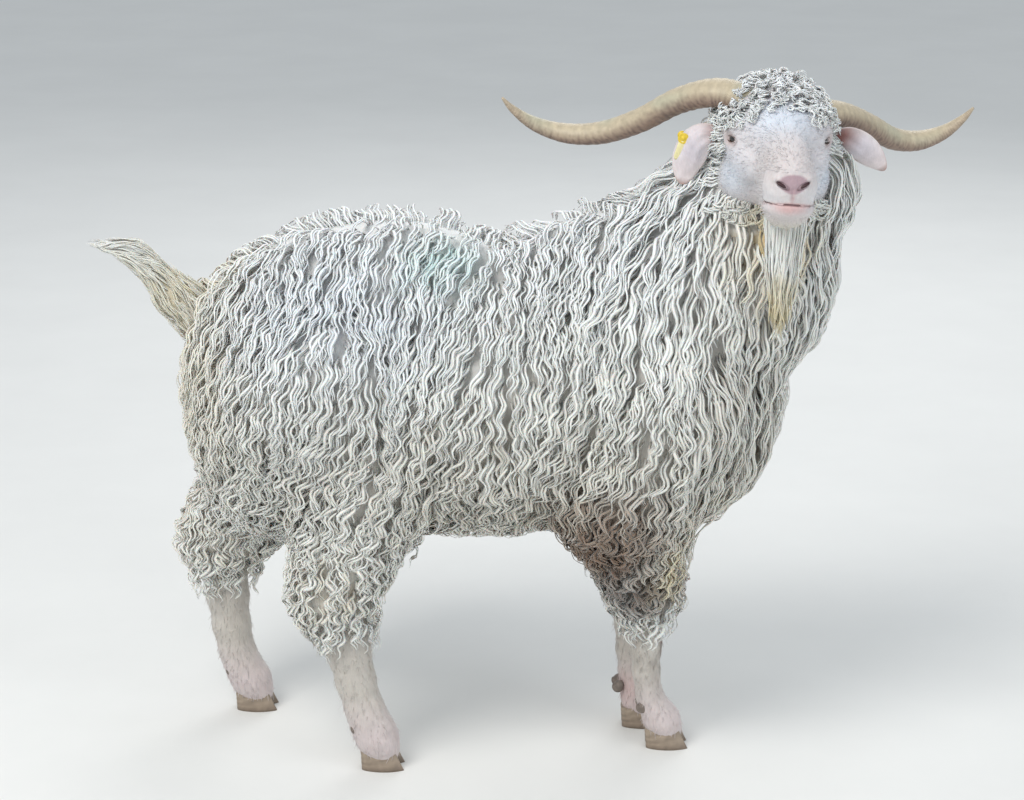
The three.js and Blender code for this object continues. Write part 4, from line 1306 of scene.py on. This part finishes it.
def make_lid(name, s, upper):
    """A thin shell over the ball, from the edge of the slit back under the skin."""
    turn = np.linspace(-1.5, 1.5, LID_TURNS)[:, None]
    out = np.concatenate([np.linspace(0, 1, LID_ROWS), np.linspace(1, 0, LID_ROWS)])[None]
    edge = upper * SLIT_RISE * np.clip(1 - turn**2, 0, 1) * (1.15 if upper > 0 else 0.85)
    rise = edge + (upper * LID_FAR - edge) * out
    folds = 0.35 * np.cos(out * 14) * np.exp(-4 * out) + 0 * turn
    outer = np.arange(2 * LID_ROWS)[None] < LID_ROWS
    height = np.where(outer, 1.5 + folds, 0.2)
    q = over_eye(turn * SLIT_TURN, rise, height[..., None]).reshape(-1, 3)
    q[:, 0] *= s
    quads = tube_faces(LID_TURNS, 2 * LID_ROWS)[0]
    share = np.clip(1 - out * 9, 0, 1) + 0 * turn
    tint = mixed(LID_TINT + 0 * q, (0.11, 0.065, 0.055), share.ravel())
    tint = tint * (1 + 0.08 * ripple(q, 5, 61))[:, None]
    lid = mesh_object(name, from_head(q), quads, colours=np.clip(tint, 0, 1))
    return finished(capped(lid), SLIT_LOOK, "face")


make_eye("eye_right", 1)
make_eye("eye_left", -1)

# The dark inside of each nostril: a nearly black ball, painted shade that makes the hollow look deep
NOSTRIL_INSIDE = np.array([8.6, 4.6, 2.6])
NOSTRIL_SINK = 0.8


def make_nostril(name, s):
    points, quads, tris = ball(16, 24)
    q = points * NOSTRIL_INSIDE
    q = turned(q, NOSTRIL_LEAN, 0, 2) + NOSTRIL_AT - np.array([0, NOSTRIL_SINK, 0])
    q[:, 0] *= s
    piece = mesh_object(name, from_head(q), quads, tris, colours=RECESS_SHADE_PINK * 0.5 + 0 * q)
    return finished(outward(piece), SLIT_LOOK, "face")


make_nostril("nostril_right", 1)
make_nostril("nostril_left", -1)

# Hooves: two claws to a foot and two dewclaws behind the pastern
CLAW_LENGTH = 56.0
CLAW_WIDTH = 21.0
CLAW_HEIGHT = 30.0
CLAW_CLEFT = 3.0
CLAW_SET_BACK = 9.0
CLAW_SPLAY = 0.08
DEWCLAW_R = (8.5, 6.5, 9)
DEWCLAW_AT = (-33, 12, 58)
DEWCLAW_TILT = 0.5
HOOF_SIDES = 36
HOOF_ROWS = 9


def make_claw(name, side, foot):
    turn = np.linspace(0, 2 * math.pi, HOOF_SIDES, endpoint=False)
    rows = []
    for h in np.linspace(0, 1, HOOF_ROWS):
        x, y = np.cos(turn), np.sin(turn)
        toe = np.where(x > 0, 1 - 0.4 * x**2, 1)
        growth = 1 - 0.012 * (1 + math.sin(h * 26))
        long = x * (CLAW_LENGTH / 2 + (CLAW_LENGTH * 0.36 - CLAW_LENGTH / 2) * h) * growth
        wide = y * (CLAW_WIDTH / 2 + (CLAW_WIDTH * 0.44 - CLAW_WIDTH / 2) * h) * toe * growth
        rows.append(np.stack([long - h * CLAW_SET_BACK, wide, h * CLAW_HEIGHT * (1 + 0.16 * x)], 1))
    q = np.vstack(rows + [[(0, 0, 0)], [(-CLAW_SET_BACK, 0, CLAW_HEIGHT)]])
    q = turned(q, side * CLAW_SPLAY, 0, 1)
    q = q + np.array([foot[0], foot[1] + side * (CLAW_WIDTH + CLAW_CLEFT) / 2, 0])
    quads, tris = tube_faces(HOOF_ROWS, HOOF_SIDES)
    colour = np.array([0.26, 0.20, 0.15]) + 0 * q
    colour = mixed(colour, (0.45, 0.37, 0.28), np.clip(q[:, 2] / CLAW_HEIGHT, 0, 1) * 0.6)
    colour = colour * (1 + 0.16 * np.sin(q[:, 2] * 1.1) + 0.12 * ripple(q, 8, 70))[:, None]
    piece = mesh_object(name + "_horny", q, quads, tris, colours=np.clip(colour, 0, 1))
    return finished(outward(piece), HOOF_LOOK, "hoof", name)


def make_dewclaw(name, side, foot):
    points, quads, tris = ball(14, 18)
    q = points * DEWCLAW_R
    q[:, 0] *= np.where(q[:, 2] < 0, 1.0, 0.8)
    back, across, up = DEWCLAW_AT
    q = turned(q, -DEWCLAW_TILT, 0, 2) + np.array([foot[0] + back, foot[1] + side * across, up])
    colour = np.array([0.19, 0.155, 0.13]) * (1 + 0.2 * ripple(q, 6, 71))[:, None]
    piece = mesh_object(name + "_horny", q, quads, tris, colours=np.clip(colour, 0, 1))
    return finished(outward(piece), HOOF_LOOK, "hoof", name)


for leg, shape in LEGS.items():
    for i, side in enumerate((-1, 1)):
        make_claw(f"{leg}_claw_{i + 1}", side, shape["joints"][4])
        make_dewclaw(f"{leg}_dewclaw_{i + 1}", side, shape["joints"][4])

# Ear tag: a plain round button with a stud through the ear, and a soft strap that hangs from it
TAG_AT = np.array([112.0, -48.0, -11.0])
TAG_R = 7.0
TAG_THICK = 2.4
STUD_R = 2.5
STUD_LENGTH = 20.0
TAG_SIDES = 40
STRAP_END = np.array([119.0, -52.0, -38.0])
STRAP_WIDTH = 9.0
STRAP_THICK = 2.0
STRAP_ROWS = 12


def make_tag():
    behind = TAG_R * 0.8
    profile = [
        (0.01, 0.6), (2.2, 0.5), (2.6, -0.1), (5.2, -0.1), (5.7, 0.1), (TAG_R - 0.5, 0.0), (TAG_R, -0.7),
        (TAG_R - 0.3, -TAG_THICK), (STUD_R, -TAG_THICK), (STUD_R, TAG_THICK - STUD_LENGTH),
        (behind, TAG_THICK - STUD_LENGTH), (behind, -STUD_LENGTH), (0.01, -STUD_LENGTH),
    ]
    turn = np.linspace(0, 2 * math.pi, TAG_SIDES, endpoint=False)
    rings = [np.stack([r * np.cos(turn), 0 * turn + y, r * np.sin(turn)], 1) for r, y in profile]
    q = np.vstack(rings) + TAG_AT
    quads = tube_faces(len(profile), TAG_SIDES)[0]
    colour = np.array([0.80, 0.58, 0.05]) * (1 + 0.06 * ripple(q, 5, 80))[:, None]
    button = mesh_object("ear_tag_button", from_head(q), quads, colours=np.clip(colour, 0, 1))
    finished(capped(button), TAG_LOOK, "tag", "ear_tag")
    ts = np.linspace(0.12, 1.04, STRAP_ROWS)
    line = TAG_AT + (STRAP_END - TAG_AT) * ts[:, None] + np.array([0, 0.4 - TAG_THICK / 2, 0])
    line[:, 1] += 0.8 * np.sin(math.pi * ts)
    ends = np.sqrt(np.clip(1 - np.clip((ts - 0.86) / 0.2, 0, 1) ** 2, 0.1, 1))
    shape, quads, tris = ring_tube(line, STRAP_WIDTH / 2 * ends, 16, (0, 1, 0), STRAP_THICK / STRAP_WIDTH)
    colour = np.array([0.86, 0.78, 0.42]) * (1 + 0.05 * ripple(shape, 8, 81))[:, None]
    strap = mesh_object("ear_tag_strap", from_head(shape), quads, tris, colours=np.clip(colour, 0, 1))
    return finished(outward(strap), TAG_LOOK, "tag")


make_tag()

# Floor, light and camera
FOCAL_PIXELS = 2900.0
CAMERA_AWAY = 3770.0
CAMERA_PITCH = math.radians(16)
LOOK_AT = np.array([0.0, 0.0, 464.0])
FLOOR_HALF = 9000.0


def make_stage():
    corners = np.array([(-1, -1, 0), (1, -1, 0), (1, 1, 0), (-1, 1, 0)]) * FLOOR_HALF
    floor = mesh_object("floor", corners - SHIFT, [(0, 1, 2, 3)])
    material, tree, base = shader("pale_floor", 0.9, specular=0.2)
    place = stretched(tree, (1, 1, 1)).outputs[0]
    pale = linked(tree, "ShaderNodeRGB")
    pale.outputs[0].default_value = (0.80, 0.80, 0.78, 1)
    tree.links.new(varied(tree, pale.outputs[0], place, 3.0, 0.02), base.inputs["Base Color"])
    floor.data.materials.append(material)


def area_light(name, at, aim, size, power, tint=(1, 1, 1)):
    light = bpy.data.lights.new(name, "AREA")
    light.energy = power
    light.size = size
    light.color = tint
    holder = bpy.data.objects.new(name, light)
    holder.location = at
    holder.rotation_euler = (Vector(aim) - Vector(at)).to_track_quat("-Z", "Y").to_euler()
    bpy.context.scene.collection.objects.link(holder)


def make_camera():
    camera = bpy.data.cameras.new("camera")
    camera.sensor_width = 36.0
    camera.lens = FOCAL_PIXELS * 36.0 / 1024
    holder = bpy.data.objects.new("camera", camera)
    back = np.array([0, -math.cos(CAMERA_PITCH), math.sin(CAMERA_PITCH)])
    holder.location = Vector((LOOK_AT + CAMERA_AWAY * back + SHIFT) * MM)
    holder.rotation_euler = (math.pi / 2 - CAMERA_PITCH, 0, 0)
    bpy.context.scene.collection.objects.link(holder)
    bpy.context.scene.camera = holder


def make_world():
    world = bpy.data.worlds.new("studio")
    world.use_nodes = True
    world.node_tree.nodes["Background"].inputs["Color"].default_value = (0.88, 0.94, 1.0, 1)
    world.node_tree.nodes["Background"].inputs["Strength"].default_value = 0.60
    bpy.context.scene.world = world
    bpy.context.scene.view_settings.view_transform = "Standard"


make_stage()
make_world()
make_camera()
area_light("key", (-1.6, -2.2, 3.6), (0, 0, 0.5), 1.9, 108, (1, 0.98, 0.95))
area_light("fill", (2.8, -2.4, 1.8), (0, 0, 0.5), 2.4, 26, (0.94, 0.97, 1))
area_light("back", (0.6, 3.0, 2.6), (0, 0, 0.6), 2.0, 34)
